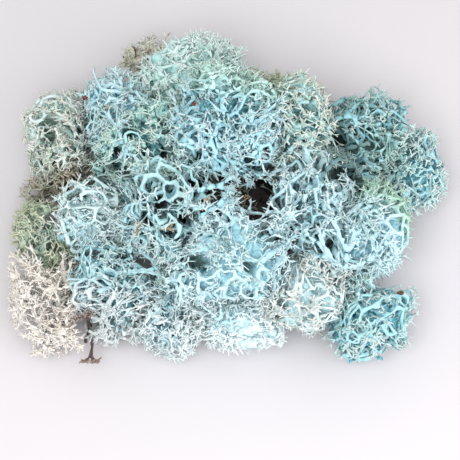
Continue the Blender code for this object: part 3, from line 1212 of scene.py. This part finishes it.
    def heart(self, envelope: Envelope, share: float, sinking: float) -> None:
        """Adds the crumbly mat of old growth in a tuft's heart, which the stems stand out of.

        Args:
            envelope: The tuft's space.
            share: The share of the hull's reach that the mat fills.
            sinking: How deep it gives way under the heap's hollows.
        """
        ball = bmesh.new()
        bmesh.ops.create_icosphere(ball, subdivisions=HEART_FINENESS, radius=1)
        first = len(self.points)
        places = []
        for vertex in ball.verts:
            direction = vertex.co.normalized()
            reach = envelope.reach(envelope.middle, direction) * share
            place = envelope.middle + direction * reach
            crumble = sum(noise.noise(place * waves) * height for waves, height in CRUMBLE)
            furthest = reach * HEART_LIMIT / share
            places.append(envelope.middle + direction * min(reach * (1 + crumble), furthest))
        for place, sunk in zip(places, envelope.room.hollowness(np.array(places))):
            self.add(place - TO_CAMERA * sinking * sunk, 1)
            self.growth[-1] = 0.0
        for face in ball.faces:
            self.faces.append(tuple(first + vertex.index for vertex in face.verts))
        ball.free()

    def net(self, layer: Net, crown: Callable[[Vector], Vector], seeds: list[Vector],
            is_net: Callable[[Vector], bool]) -> None:
        """Adds a layer of stems that meet three by three round rounded holes.

        Args:
            layer: How the layer is made.
            crown: Gives the layer's place in a direction.
            seeds: The directions in which the holes' middles lie.
            is_net: Tells whether the net has grown at a place.
        """
        hull = bmesh.new()
        for seed in seeds:
            hull.verts.new(seed)
        bmesh.ops.convex_hull(hull, input=hull.verts)
        bmesh.ops.triangulate(hull, faces=hull.faces)
        hull.verts.index_update()
        hull.verts.ensure_lookup_table()
        faces = sorted(hull.faces, key=corner_numbers)
        edges = sorted(hull.edges, key=corner_numbers)
        corners = {face: [hull.verts[number].co for number in corner_numbers(face)] for face in faces}
        ways = {face: sum(places, Vector()) for face, places in corners.items()}
        forks = {face: self.ridge(layer, crown(ways[face].normalized())) for face in faces}
        middles = {}
        for edge in edges:
            sides = sorted(edge.link_faces, key=corner_numbers)
            ends = [forks[face][2] for face in sides]
            way = sum((ways[face] for face in sides), Vector())
            place = (sum(ends, Vector()) / len(ends)).lerp(crown(way.normalized()), 0.5)
            middles[edge] = self.ridge(layer, place)
        stubs = {}
        for edge in edges:
            if self.draw.random() < layer.broken:
                for face in sorted(edge.link_faces, key=corner_numbers):
                    stubs[edge, face] = self.stub_ring(layer, forks[face][2], middles[edge][2])
        centres = {vertex: crown(vertex.co.normalized()) for vertex in hull.verts}
        open_holes = {vertex for vertex, place in centres.items() if not is_net(place)}
        for vertex, centre in centres.items():
            self.hole(layer, vertex, centre, forks, middles, open_holes, stubs)
        for (edge, face), (ring, way) in stubs.items():
            if not open_holes.issuperset(edge.verts):
                middle = sum((self.points[point] for point in ring), Vector()) / len(ring)
                self.prongs(ring, middle, way, layer.stub_radius)
        hull.free()

    def stub_ring(self, layer: Net, start: Vector, end: Vector) -> tuple[list[int], Vector]:
        """Adds the ring in which a broken stem of a net ends.

        Args:
            layer: How the layer is made.
            start: The fork that the stem grows from.
            end: Where the whole stem would have its middle.

        Returns:
            The ring's points, from its top and turning left round the stem, and the direction.
        """
        way = (end - start).normalized()
        inward = (self.middle - end).normalized()
        side = way.cross(inward).normalized()
        middle = start.lerp(end, self.draw.uniform(*layer.stub_reach)) + inward * layer.thickness / 2
        spokes = (-inward, -side, inward, side)
        return [self.add(middle + spoke * layer.stub_radius, 1) for spoke in spokes], way

    def ridge(self, layer: Net, place: Vector) -> tuple[int, int, Vector]:
        """Adds a point of a stem's top and the one under it.

        Args:
            layer: How the layer is made.
            place: Where the stem would pass if it weren't wavy.

        Returns:
            The number of the top point, that of the one under it, and the top point's place.
        """
        place = place + noise.noise_vector(place * layer.waves) * layer.waviness
        inward = (self.middle - place).normalized()
        top, bottom = self.add(place, 1), self.add(place + inward * layer.thickness, 1)
        self.growth[top] = self.growth[bottom] = layer.growth
        return top, bottom, place

    def hole(self, layer: Net, vertex: bmesh.types.BMVert, centre: Vector, forks: dict, middles: dict,
             open_holes: set, stubs: dict) -> None:
        """Adds the stems' sides round one hole.

        Args:
            layer: How the layer is made.
            vertex: The hole's middle on the sphere of directions.
            centre: The hole's middle in its place.
            forks: The ridge points at the forks, by the face that they stand for.
            middles: The ridge points midway along the stems, by edge.
            open_holes: The holes' middles between which there is no stem.
            stubs: The rings in which broken stems end, by their edge and face.
        """
        stops = []
        sides = []
        loop = start = min(vertex.link_loops, key=lambda loop: corner_numbers(loop.face))
        while True:
            stops.extend((middles[loop.edge], forks[loop.face]))
            sides.append((loop.edge, loop.face))
            loop = loop.link_loop_prev.link_loop_radial_next
            if loop == start:
                break
        inward = (self.middle - centre).normalized() * layer.thickness / 2
        away = [(stop[2] - centre).length for stop in stops]
        near = [max(distance - layer.stem_width / 2, distance * layer.narrowest) for distance in away]
        ring = []
        for number, stop in enumerate(stops):
            distance = near[number]
            if number % 2:
                beside = (near[number - 1] + near[(number + 1) % len(stops)]) / 2
                distance = min(beside * layer.corner_reach, distance)
            spoke = (stop[2] - centre).normalized()
            ring.append(self.add(centre + spoke * distance + inward, 1))
            self.growth[-1] = layer.growth * layer.side_growth
        for number, stop in enumerate(stops):
            after = (number + 1) % len(stops)
            edge, face = sides[(number + 1) // 2 % len(sides)][0], sides[number // 2][1]
            if open_holes.issuperset(edge.verts):
                continue
            here, there = (ring[number], *stop[:2]), (ring[after], *stops[after][:2])
            if (edge, face) in stubs:
                top, left, bottom, right = stubs[edge, face][0]
                nearest = min((left, right), key=lambda point: (self.points[point] - centre).length)
                stub = (nearest, top, bottom)
                here, there = (here, stub) if number % 2 else (stub, there)
            self.faces.append((here[0], there[0], there[1], here[1]))
            self.faces.append((there[0], here[0], here[2], there[2]))

    def mesh(self, name: str, room: Room) -> bpy.types.Mesh:
        """The finished mesh, with its growth, age, depth and the hollows' painted shade on its points.

        Args:
            name: The mesh's name.
            room: The heap's box, in which the points settle.

        Returns:
            The mesh.
        """
        used = sorted({point for face in self.faces for point in face})
        numbers = {point: number for number, point in enumerate(used)}
        points = [self.points[point] for point in used]
        faces = [tuple(numbers[point] for point in face) for face in self.faces]
        mesh = bpy.data.meshes.new(name)
        mesh.from_pydata([room.settle(point) for point in points], [], faces)
        mesh.shade_smooth()
        values = {
            "growth": [self.growth[point] for point in used],
            "age": [self.ages[point] for point in used],
            "inside": [self.depth_of(point) for point in points],
            # The hollows' painted shade, kept on the points.
            "painted_hollow_shade": room.painted_hollow_shade(np.array(points)),
        }
        for attribute, shares in values.items():
            mesh.attributes.new(attribute, "FLOAT", "POINT").data.foreach_set("value", shares)
        return mesh


def spread_direction(number: int, count: int) -> Vector:
    """One of so many directions that are spread evenly all round.

    Args:
        number: Which of them.
        count: How many there are.

    Returns:
        The direction.
    """
    height = 1 - 2 * (number + 0.5) / count
    angle = math.pi * (1 + 5 ** 0.5) * number
    flat = math.sqrt(1 - height * height)
    return Vector((flat * math.cos(angle), flat * math.sin(angle), height))


@dataclass(frozen=True)
class Tuft:
    """One tuft of the heap.

    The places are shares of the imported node's half-sizes, counted from its middle, and the stars are so
    many millimetres apart. A fan lies on its side: it forks near its outside, and its stems show as they
    run from there to the far rim.
    """

    node: str
    finish: LichenFinish
    habit: Habit = Habit.DOME
    heel: tuple = (0.0, 0.0, -0.7)
    fork: tuple = (0.0, 0.0, -0.35)
    star_spacing: float = 2.35
    lobes: int = 26
    undergrowth: int = 140

    def stars(self, envelope: Envelope, lobes: np.ndarray, draw: np.random.Generator) -> np.ndarray:
        """Where the stars of tips go: over the lobes of the crown, and some inside it.

        Args:
            envelope: The tuft's space.
            lobes: The directions of the crown's lobes.
            draw: The random draw.

        Returns:
            The stars' places, one a row.
        """
        growth = self.habit.value
        origin = envelope.at(self.fork) if self.habit is Habit.FAN else envelope.middle
        longest = envelope.longest(origin)
        tries = int(4 * math.pi * (longest / (self.star_spacing * MM)) ** 2 / STAR_PACKING)
        stars = []
        for number in range(tries):
            direction = spread_direction(number, tries) + Vector(draw.normal(0, STAR_UNEVENNESS, 3))
            direction.normalize()
            if direction.z < BARE_UNDERSIDE + draw.normal(0, UNDERSIDE_UNEVENNESS):
                continue
            spare = envelope.spare(direction)
            reach = envelope.reach(origin, direction) + OVERLAP * spare
            if reach < SHORTEST_REACH or draw.random() > (reach / longest) ** 2:
                continue
            share = self.crown_share(direction, lobes, spare) + draw.normal(0, CROWN_UNEVENNESS)
            if draw.random() < growth.inner_share:
                share *= draw.uniform(*INNER_REACH)
            place = origin + direction * min(reach * share, envelope.room.distance(origin, direction))
            if growth.is_net(place) and draw.random() > TIPS_ON_NET:
                continue
            stars.append(place)
        stars = np.array(stars)
        kept = envelope.room.hollowness(stars) < draw.uniform(0, 1, len(stars)) + TIPS_IN_HOLLOW
        return stars[kept]

    def lay_net(self, skin: Skin, layer: Net, envelope: Envelope, lobes: np.ndarray,
                draw: np.random.Generator) -> None:
        """Lays a net of grown-together stems under the crown.

        Args:
            skin: The tuft's skin.
            layer: How the net is made.
            envelope: The tuft's space.
            lobes: The directions of the crown's lobes.
            draw: The random draw.
        """
        middle, room = envelope.middle, envelope.room

        def crown(direction: Vector) -> Vector:
            """Where the net lies.

            Args:
                direction: The direction from the tuft's middle.

            Returns:
                The net's place in that direction.
            """
            share = self.crown_share(direction, lobes, envelope.spare(direction)) * layer.depth
            reach = envelope.reach(middle, direction) * share
            return middle + direction * min(reach, room.distance(middle, direction))

        def is_net(place: Vector) -> bool:
            """Whether the net has grown at a place."""
            return self.habit.value.is_net(place) and room.hollowness(np.array([place]))[0] < NETS_IN_HOLLOW

        growing = (middle - envelope.at(self.fork)).normalized()
        longest = envelope.longest(middle)
        unevenness = layer.unevenness * layer.hole / longest
        tries = int(4 * math.pi * (longest * layer.depth / layer.hole) ** 2 / HOLE_PACKING)
        seeds = []
        for number in range(tries):
            direction = spread_direction(number, tries) + Vector(draw.normal(0, unevenness, 3))
            direction.normalize()
            stretched = direction + growing * direction.dot(growing) * (layer.long_holes - 1)
            reach = envelope.reach(middle, stretched.normalized())
            if draw.random() < (reach / longest) ** 2 / stretched.length ** 3:
                seeds.append(stretched.normalized())
        skin.net(layer, crown, seeds, is_net)

    def crown_share(self, direction: Vector, lobes: np.ndarray, spare: float) -> float:
        """How far out the crown is in a direction, as a share of the hull's reach.

        Args:
            direction: The direction.
            lobes: The directions of the crown's lobes.
            spare: How freely the tuft grows past its hull there.

        Returns:
            The share.
        """
        crevice, roundness = self.habit.value.crevice, self.habit.value.roundness
        nearest = (lobes @ np.array(direction)).max()
        rise = float(np.clip((nearest - LOBE_RIM) / LOBE_RISE, 0, 1)) ** roundness
        lump = LUMP_HEIGHT * noise.noise(direction * LUMP_WAVES + Vector(lobes[0]) * LUMP_SHIFT)
        lump *= spare if lump > 0 else 1
        return (crevice + (CROWN_TOP - crevice) * rise) * (1 + lump)

    def old_tips(self, envelope: Envelope, draw: np.random.Generator) -> np.ndarray:
        """The tips of the old growth that fills the tuft from within.

        Args:
            envelope: The tuft's space.
            draw: The random draw.

        Returns:
            The tips, one a row.
        """
        tips = []
        while len(tips) < self.undergrowth:
            direction = Vector(draw.normal(0, 1, 3)).normalized()
            if direction.z > OLD_TOP:
                continue
            share = draw.uniform(*OLD_REACH) ** OLD_EVENNESS
            tips.append(envelope.middle + direction * envelope.reach(envelope.middle, direction) * share)
        tips = np.array(tips)
        return tips[envelope.room.hollowness(tips) < draw.uniform(0, 1, len(tips)) + TIPS_IN_HOLLOW]

    def build(self, solid: bpy.types.Object, room: Room, forking: Forking, seed: int) -> bpy.types.Object:
        """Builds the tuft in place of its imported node.

        Args:
            solid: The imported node's object.
            room: The box that the whole heap takes up.
            forking: How the stems fork.
            seed: The seed of the tuft's random draw.

        Returns:
            The finished piece.
        """
        draw = np.random.default_rng(seed)
        envelope = Envelope(self.node, solid, room)
        heel, fork = envelope.at(self.heel), envelope.at(self.fork)
        lobes = draw.normal(0, 1, (self.lobes, 3))
        lobes /= np.linalg.norm(lobes, axis=1)[:, None]
        tips = self.stars(envelope, lobes, draw)
        axis = np.array(envelope.middle - fork)
        axis /= max(float(np.linalg.norm(axis)), TINY)
        side = np.array(Vector(axis).orthogonal())
        order = np.argsort((tips - np.array(fork)) @ side)
        halves = (tips[order[:len(tips) // 2]], tips[order[len(tips) // 2:]])
        trunk = Stem(heel, fork, len(tips), [forking.grow(np.array(fork), half, draw) for half in halves])

        skin = Skin(forking, len(tips), envelope.middle, draw, envelope.depth)
        skin.root(trunk)
        growth = self.habit.value
        for layer in growth.nets:
            self.lay_net(skin, layer, envelope, lobes, draw)
        skin.age = 1.0
        old_root = np.array(envelope.at(OLD_ROOT))
        skin.root(forking.grow(old_root, self.old_tips(envelope, draw), draw))
        if growth.heart:
            skin.heart(envelope, growth.heart, 0.0 if self.habit is Habit.MAT else HOLLOW_DEPTH)
        name = self.node.replace("_tuft", "_branches")
        piece = bpy.data.objects.new(name, skin.mesh(self.node + "_fine", room))
        bpy.context.scene.collection.objects.link(piece)
        piece.data.materials.append(self.finish.material())
        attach(piece, "root")
        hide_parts(self.node)
        LOG.info("%s: %d stars, %d faces", piece.name, len(tips), len(skin.faces))
        return piece


TUFTS = (
    Tuft("centre_base_tuft", DEAD, Habit.MAT, star_spacing=3.8),
    Tuft("rear_top_tuft", MINT_LIGHT, Habit.DENSE),
    Tuft("rear_stray_tuft", STRAW_TAN, Habit.WIRY, star_spacing=3.2, undergrowth=30),
    Tuft("rear_right_tuft", OLIVE, Habit.STRAGGLY, star_spacing=2.5, undergrowth=120),
    Tuft("right_rear_tuft", TEAL, Habit.FAN, (-0.95, -0.1, 0.1), (-0.5, 0.2, 0.55)),
    Tuft("right_edge_tuft", AQUA),
    Tuft("left_rear_tuft", SKY_LIGHT, Habit.FAN, (0.3, -0.9, 0.2), (0.1, -0.55, 0.6)),
    Tuft("left_far_tuft", OLIVE_COOL),
    Tuft("left_dark_tuft", DEAD_WIRY, Habit.WIRY, star_spacing=2.8, undergrowth=80),
    Tuft("left_mid_tuft", SKY_BRIGHT, Habit.FAN, (0.5, 0.2, 0.3), (0.1, -0.1, 0.75)),
    Tuft("left_olive_tuft", OLIVE, Habit.WIRY, star_spacing=2.4, undergrowth=80),
    Tuft("left_front_tuft", STRAW, Habit.WIRY, star_spacing=2.4, undergrowth=60),
    Tuft("front_left_tuft", SKY_PALE_CORNER),
    Tuft("front_mid_tuft", SKY_PALE_FRONT, Habit.STRAGGLY, star_spacing=2.1),
    Tuft("front_centre_tuft", SKY_PALE_FRONT, Habit.DENSE),
    Tuft("front_right_tuft", AQUA, Habit.FAN, (-0.5, 0.8, 0.3), (-0.1, 0.3, 0.65)),
    Tuft("centre_top_tuft", SKY_MINT_BACK, Habit.FAN, (0.1, -0.4, -0.6), (0.15, -0.6, 0.35)),
    Tuft("cream_tuft", CREAM),
    Tuft("rear_middle_tuft", MINT),
    Tuft("centre_left_tuft", SKY_OVER_BROWN, Habit.OPEN, star_spacing=2.3),
    Tuft("centre_right_tuft", SKY_RIGHT, Habit.FAN, (-0.3, -0.95, 0.0), (-0.15, -0.6, 0.5)),
    Tuft("right_mid_tuft", SKY_GREEN_RIM, Habit.FAN, (-0.9, -0.95, 0.2), (-0.45, -0.5, 0.6)),
    Tuft("right_low_tuft", PALE, Habit.DENSE),
    Tuft("centre_low_tuft", SKY_LIGHT, Habit.DENSE),
)


@dataclass(frozen=True)
class Twig:
    """A twig that lies in the heap and fans out from its foot, which is sunk into it.

    Sizes are in millimetres, and the foot's place is to the right of the heap's middle and up the
    picture. A draped twig follows the crowns at a lift over them. The ends lie from the nearest share of
    the length to its end.
    """

    name: str
    finish: LichenFinish
    right: float
    up: float
    way: tuple
    length: float
    spread: float
    tips: int
    sunk: float = 0.5
    tip_radius: float = 0.2
    prong_length: tuple = (0.4, 0.9)
    web_width: float = 0.3
    draped: bool = False
    lift: float = 0.3
    nearest: float = 0.75
    unevenness: float = 0.1
    ruffle: float = 0.3

    def build(self, hulls: list[BVHTree], room: Room, seed: int) -> bpy.types.Object:
        """Builds the twig.

        Args:
            hulls: The hulls of the tufts that it lies on.
            room: The box that the whole heap takes up.
            seed: The seed of its random draw.

        Returns:
            The finished piece.
        """
        draw = np.random.default_rng(seed)
        right, up = self.right * MM, self.up * MM
        foot = room.keep(land(hulls, right, up) - TO_CAMERA * (self.sunk * MM), room.twig_margin)
        size = math.hypot(*self.way)
        forth, climb = self.way[0] / size, self.way[1] / size
        ends = []
        for number in range(self.tips):
            share = 2 * (number + 0.5) / self.tips - 1 + draw.normal(0, self.unevenness)
            aside = self.spread * MM * share
            along = self.length * MM * draw.uniform(self.nearest, 1.0)
            shift = forth * along + climb * aside, climb * along - forth * aside
            if self.draped:
                end = land(hulls, right + shift[0], up + shift[1]) + TO_CAMERA * (self.lift * MM)
            else:
                rise = TO_CAMERA * draw.normal(0, self.spread * MM * self.ruffle)
                end = foot + Vector((shift[0], 0, 0)) + PICTURE_UP * shift[1] + rise
            ends.append(room.keep(end, room.twig_margin))
        prong_length = tuple(length * MM for length in self.prong_length)
        forking = Forking(self.tip_radius * MM, web_width=self.web_width, prong_length=prong_length)
        skin = Skin(forking, self.tips, foot, draw)
        skin.root(forking.grow(np.array(foot), np.array(ends), draw))
        piece = bpy.data.objects.new(self.name, skin.mesh(self.name + "_fine", room))
        bpy.context.scene.collection.objects.link(piece)
        piece.data.materials.append(self.finish.material())
        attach(piece, "root")
        LOG.info("%s: %d tips, %d faces", piece.name, self.tips, len(skin.faces))
        return piece


@dataclass(frozen=True)
class Bough(Twig):
    """A broad living stem that lies over the crowns and ends in stubby fingers."""

    sunk: float = 1.8
    tip_radius: float = 0.31
    prong_length: tuple = (1.2, 2.4)
    web_width: float = 1.1
    draped: bool = True
    lift: float = 1.7
    nearest: float = 0.35


@dataclass(frozen=True)
class Spray(Twig):
    """A living spray of thin stems that reaches over a gap between tufts."""

    sunk: float = 1.0
    tip_radius: float = 0.21
    prong_length: tuple = (1.0, 2.2)
    web_width: float = 1.1


# Litter of dead stems.
TWIGS = (
    Twig("dead_twig_up", DEAD_TWIG, -55.2, -44, (-0.15, 1.0), 12, 5.5, 30, -2.2, draped=True, lift=2.4),
    Twig("dead_twig_down", DEAD_TWIG, -55.2, -43, (0.0, -1.0), 10, 3.8, 44, -2.0),
    Twig("tan_twig_middle", TAN, -10, 9, (0.1, 1.0), 4.5, 1.2, 5),
    Twig("tan_twig_left", TAN, -27, 2, (1.0, 0.3), 4, 1.5, 6),
    Twig("tan_twig_low", TAN, -36, -2, (0.3, 1.0), 4, 1.4, 6),
    Twig("tan_twig_in_gap", TAN, 4, 8, (0.15, 1.0), 6, 2, 7, -1.5),
    Twig("tan_twig_rear", TAN, -49, 47, (0.6, 1.0), 3, 1.2, 5),
    Twig("brown_twig_rear", DEAD_TWIG, -41, 72, (0.2, 1.0), 4, 1.5, 6),
)

# The living stems that stand out over gaps and crowns.
BOUGHS = (
    Spray("spray_over_base", SKY_OVER_BROWN, -36, -10, (1.0, -0.55), 15, 7, 50),
    Spray("spray_low_left", SKY_OVER_BROWN, -40, -17, (1.0, 0.1), 14, 5, 40),
    Spray("spray_middle", SKY_OVER_BROWN, -14, 16, (1.0, 0.1), 17, 7, 36),
    # The next three sprays wear the teal's painted shade.
    Spray("spray_in_rear_gap", TEAL_PAINTED_SHADE, 55, 36, (-1.0, -0.3), 20, 8, 80, tip_radius=0.15),
    Spray("spray_under_rear", TEAL_PAINTED_SHADE, 56, 24, (-1.0, 0.15), 20, 6, 70, tip_radius=0.15),
    Spray("spray_at_cream", TEAL_PAINTED_SHADE, 36, 20, (0.6, 1.0), 14, 7, 60, tip_radius=0.15),
    Spray("spray_middle_low", SKY, -12, 6, (1.0, 0.55), 16, 5, 44),
    Bough("bough_right_up", BOUGH, 44, -12, (0.05, 1.0), 17, 10, 22),
    Bough("bough_right_left", BOUGH, 43, -12, (-1.0, 0.55), 19, 9, 20),
    Bough("bough_right_right", BOUGH, 46, -13, (1.0, 0.35), 20, 9, 20),
    Bough("bough_middle", BOUGH, 11, -11, (1.0, 0.3), 19, 6, 18),
    Bough("bough_top_left", BOUGH, -9, 25, (-0.45, 1.0), 19, 8, 16),
    Bough("bough_top_right", BOUGH, -7, 27, (0.4, 1.0), 20, 8, 16),
    Bough("bough_rear_right", TEAL, 39, 44, (1.0, 0.3), 20, 7, 14),
    Bough("bough_left", BOUGH, -69, -3, (1.0, 0.35), 18, 8, 16),
    Bough("bough_fork_up", BOUGH, -43, 36, (-0.25, 1.0), 13, 6, 14),
    Bough("bough_fork_left", BOUGH, -43, 36, (-1.0, -0.1), 13, 5, 12),
    Bough("bough_fork_down", BOUGH, -43, 36, (0.6, -1.0), 12, 5, 12),
    Bough("bough_front_left", BOUGH, -50, -24, (1.0, 0.1), 24, 7, 20),
    Bough("bough_low", BOUGH, -7, -40, (0.5, 1.0), 14, 9, 16),
)

# Each hollow's last figure is how dark its painted shade is.
HOLLOWS = (
    # Holes in the tufts at the back and the left.
    Hollow(-48, 46.4, 2.8, 0.8),
    Hollow(-56.2, 46.4, 2.1, 0.7),
    Hollow(-63.6, 41.2, 2.3, 0.6),
    Hollow(-54.8, 36.4, 2.2, 0.7),
    Hollow(-40.4, 38, 2.5, 0.7),
    Hollow(-44, 31.5, 3.0, 0.8),
    Hollow(-40, 30, 2.4, 0.8),
    Hollow(-50.8, 30.6, 2.2, 0.7),
    Hollow(-46.4, 25.2, 3.3, 0.8),
    Hollow(-41, 22.5, 2.2, 0.9),
    Hollow(-34.8, 31.2, 2.5, 0.7),
    Hollow(-26.8, 38.4, 2.1, 0.8),
    Hollow(-24.4, 31.2, 2.9, 0.8),
    Hollow(-16.8, 35.5, 2.7, 0.9),
    Hollow(-11.4, 37, 3.3, 0.8),
    Hollow(-12.4, 27.6, 2.2, 0.9),
    Hollow(-75, 42, 3.2, 0.4),
    Hollow(-74, 36.5, 2.4, 0.4),
    # The big gap in the middle, and the smaller ones round it.
    Hollow(11, 9, 5.5),
    Hollow(14, 16, 4.5),
    Hollow(12, 25.5, 2.4),
    Hollow(16.5, 25.5, 2.0),
    Hollow(19.5, 11, 2.2, 0.7),
    Hollow(-12.6, -13.8, 3.6),
    Hollow(-17.5, 4.6, 3.2),
    Hollow(-32, 3, 2.8),
    Hollow(-28.5, 11.5, 2.8),
    Hollow(-37, 15, 2.0),
    Hollow(-35, -14.5, 1.4),
    Hollow(-14.8, 14, 2.6, 0.7),
    Hollow(-0.5, 18.4, 2.2, 0.7),
    Hollow(6, -13, 2.4, 0.8),
    Hollow(17, -3, 2.2, 0.45),
    Hollow(23.5, -2, 2.2, 0.45),
    Hollow(26, 3.6, 2.2, 0.5),
    Hollow(31.6, 0.6, 2.2, 0.6),
    Hollow(40.4, -8, 3.4, 0.9),
    Hollow(23.4, -10.7, 2.6, 0.7),
    Hollow(42.4, -17, 2.8, 0.6),
    # The painted shade at the back, on the right, among the teal.
    Hollow(43, 36, 5.5, 0.6),
    Hollow(46, 26, 5.5, 0.6),
    Hollow(37, 23, 4.0, 0.4),
)

# Where the heap is open down to the floor, or its outline falls back.
CLEARINGS = (
    Hollow(-73, 7, 4.5, 0.0),
    Hollow(-57.6, 14.4, 3.4, 0.0),
    Hollow(-56.8, -38.4, 4, 0.0),
    Hollow(-88, -48, 9.5, 0.0),
    Hollow(-84, 55, 8, 0.0),
    Hollow(-60.8, 62.4, 4, 0.0),
    Hollow(43, 61, 7, 0.0),
    Hollow(76, -52, 8.5, 0.0),
    Hollow(41.5, -54, 6.5, 0.0),
    Hollow(77, -21, 6.5, 0.0),
)


@dataclass(frozen=True)
class Scrap:
    """A chip of litter that lies on a tuft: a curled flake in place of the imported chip.

    Ridges run across it in ripples, with a finer grain between them, and it fits closely in the packed
    chip's box.
    """

    node: str
    curl: float
    ridges: int
    slant: float = 1.7
    ripple: float = 0.10
    grain: float = 0.06
    grain_waves: tuple = (9.0, 4.0)
    flatness: float = 0.75
    hollow: float = 0.4
    side_fit: float = 0.92
    top_fit: float = 0.95

    def build(self) -> bpy.types.Object:
        """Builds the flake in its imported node's box.

        Returns:
            The finished piece.
        """
        low, high = (Vector(corner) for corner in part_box(self.node))
        middle, half = (low + high) / 2, (high - low) / 2
        bpy.ops.object.select_all(action="DESELECT")
        bpy.ops.mesh.primitive_ico_sphere_add(subdivisions=4, radius=1.0, location=(0, 0, 0))
        piece = bpy.context.active_object
        piece.name = self.node.replace("_scrap", "_flake")
        for vertex in piece.data.vertices:
            x, y, z = vertex.co
            ripple = self.ripple * math.sin(self.ridges * x + self.slant * y)
            ripple += self.grain * math.sin(self.grain_waves[0] * y + self.grain_waves[1] * x * z)
            scale = (1 + ripple - self.ripple) * self.side_fit
            lifted = z * self.flatness + self.curl * (x * x - self.hollow)
            top = min(max(lifted, -1), 1) * self.top_fit
            vertex.co = middle + Vector((x * scale * half.x, y * scale * half.y, top * half.z))
        piece.data.shade_smooth()
        piece.data.materials.append(LITTER.material())
        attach(piece, "root")
        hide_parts(self.node)
        LOG.info("%s: %d faces", piece.name, len(piece.data.polygons))
        return piece


SCRAPS = (
    Scrap("top_bark_scrap", 0.35, 5),
    Scrap("bud_scale_scrap", 0.5, 3),
    Scrap("left_bark_scrap", 0.3, 6),
)


@dataclass(frozen=True)
class Lamp:
    """A soft square lamp that faces the heap, with its place and width in metres and its power in watts."""

    name: str
    place: tuple
    size: float
    power: float
    colour: tuple

    def hang(self) -> None:
        """Hangs the lamp."""
        bpy.ops.object.light_add(type="AREA", location=self.place)
        lamp = bpy.context.active_object
        lamp.name = self.name
        lamp.data.size = self.size
        lamp.data.energy = self.power
        lamp.data.color = self.colour
        lamp.rotation_euler = (AIM - Vector(self.place)).to_track_quat("-Z", "Y").to_euler()


@dataclass(frozen=True)
class Studio:
    """The floor, the lights and the camera."""

    floor_size: float = 6.0
    floor_colour: tuple = (0.665, 0.65, 0.668)
    floor_roughness: float = 0.7
    sky_colour: tuple = (1.0, 0.99, 1.0)
    sky_strength: float = 0.81
    lamps: tuple[Lamp, ...] = (
        Lamp("key_light", (-0.12, -0.34, 0.6), 0.4, 2.35, (1.0, 0.99, 0.99)),
        Lamp("fill_light", (0.38, -0.32, 0.26), 0.5, 1.7, (1.0, 0.92, 0.97)),
    )
    sensor_width: float = 36.0
    clip_start: float = 0.01

    def lay_floor(self) -> None:
        """Lays a plain white floor."""
        bpy.ops.mesh.primitive_plane_add(size=self.floor_size, location=(0, 0, 0))
        floor = bpy.context.active_object
        floor.name = "studio_floor"
        shader = ShaderTree("studio_white")
        shader.set(Base_Color=self.floor_colour, Roughness=self.floor_roughness)
        floor.data.materials.append(shader.material)
        floor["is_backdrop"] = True

    def light(self) -> None:
        """Lights the scene softly, with a pale sky all round and the lamps in front of the heap."""
        world = bpy.data.worlds.new("studio_sky")
        bpy.context.scene.world = world
        world.use_nodes = True
        background = world.node_tree.nodes["Background"]
        background.inputs["Color"].default_value = (*self.sky_colour, 1)
        background.inputs["Strength"].default_value = self.sky_strength
        for lamp in self.lamps:
            lamp.hang()

    def set_camera(self) -> None:
        """Sets the camera to the picture's view."""
        bpy.ops.object.camera_add(location=AIM + TO_CAMERA * VIEW_DISTANCE)
        camera = bpy.context.active_object
        camera.name = "picture_camera"
        camera.rotation_euler = (math.pi / 2 - ELEVATION, 0, 0)
        camera.data.sensor_width = self.sensor_width
        camera.data.lens = self.sensor_width * VIEW_DISTANCE / VIEW_WIDTH
        camera.data.clip_start = self.clip_start
        bpy.context.scene.camera = camera
        bpy.context.scene.view_settings.view_transform = "Standard"

    def set_up(self) -> None:
        """Sets up the whole studio."""
        self.lay_floor()
        self.light()
        self.set_camera()


def main() -> None:
    """Builds the finer tufts, the litter and the studio in order."""
    # Without this, the clock would set how the heap has settled.
    noise.seed_set(SETTLING_SEED)
    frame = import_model()
    low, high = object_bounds()
    room = Room(Vector(low), Vector(high))
    hulls = [Envelope(tuft.node, frame["nodes"][tuft.node], room).tree for tuft in TUFTS]
    hollows = HOLLOWS + CLEARINGS
    mouths = tuple(land(hulls, hollow.right * MM, hollow.up * MM) for hollow in hollows)
    room = replace(room, hollows=hollows, mouths=mouths)
    Studio().set_up()
    forking = Forking()
    for number, tuft in enumerate(TUFTS):
        tuft.build(frame["nodes"][tuft.node], room, forking, SEED + number)
    for number, twig in enumerate(BOUGHS + TWIGS):
        twig.build(hulls, room, SEED + len(TUFTS) + number)
    for scrap in SCRAPS:
        scrap.build()
    low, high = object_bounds()


if __name__ == "__main__":
    logging.basicConfig(level=logging.INFO, format="%(message)s")
    main()
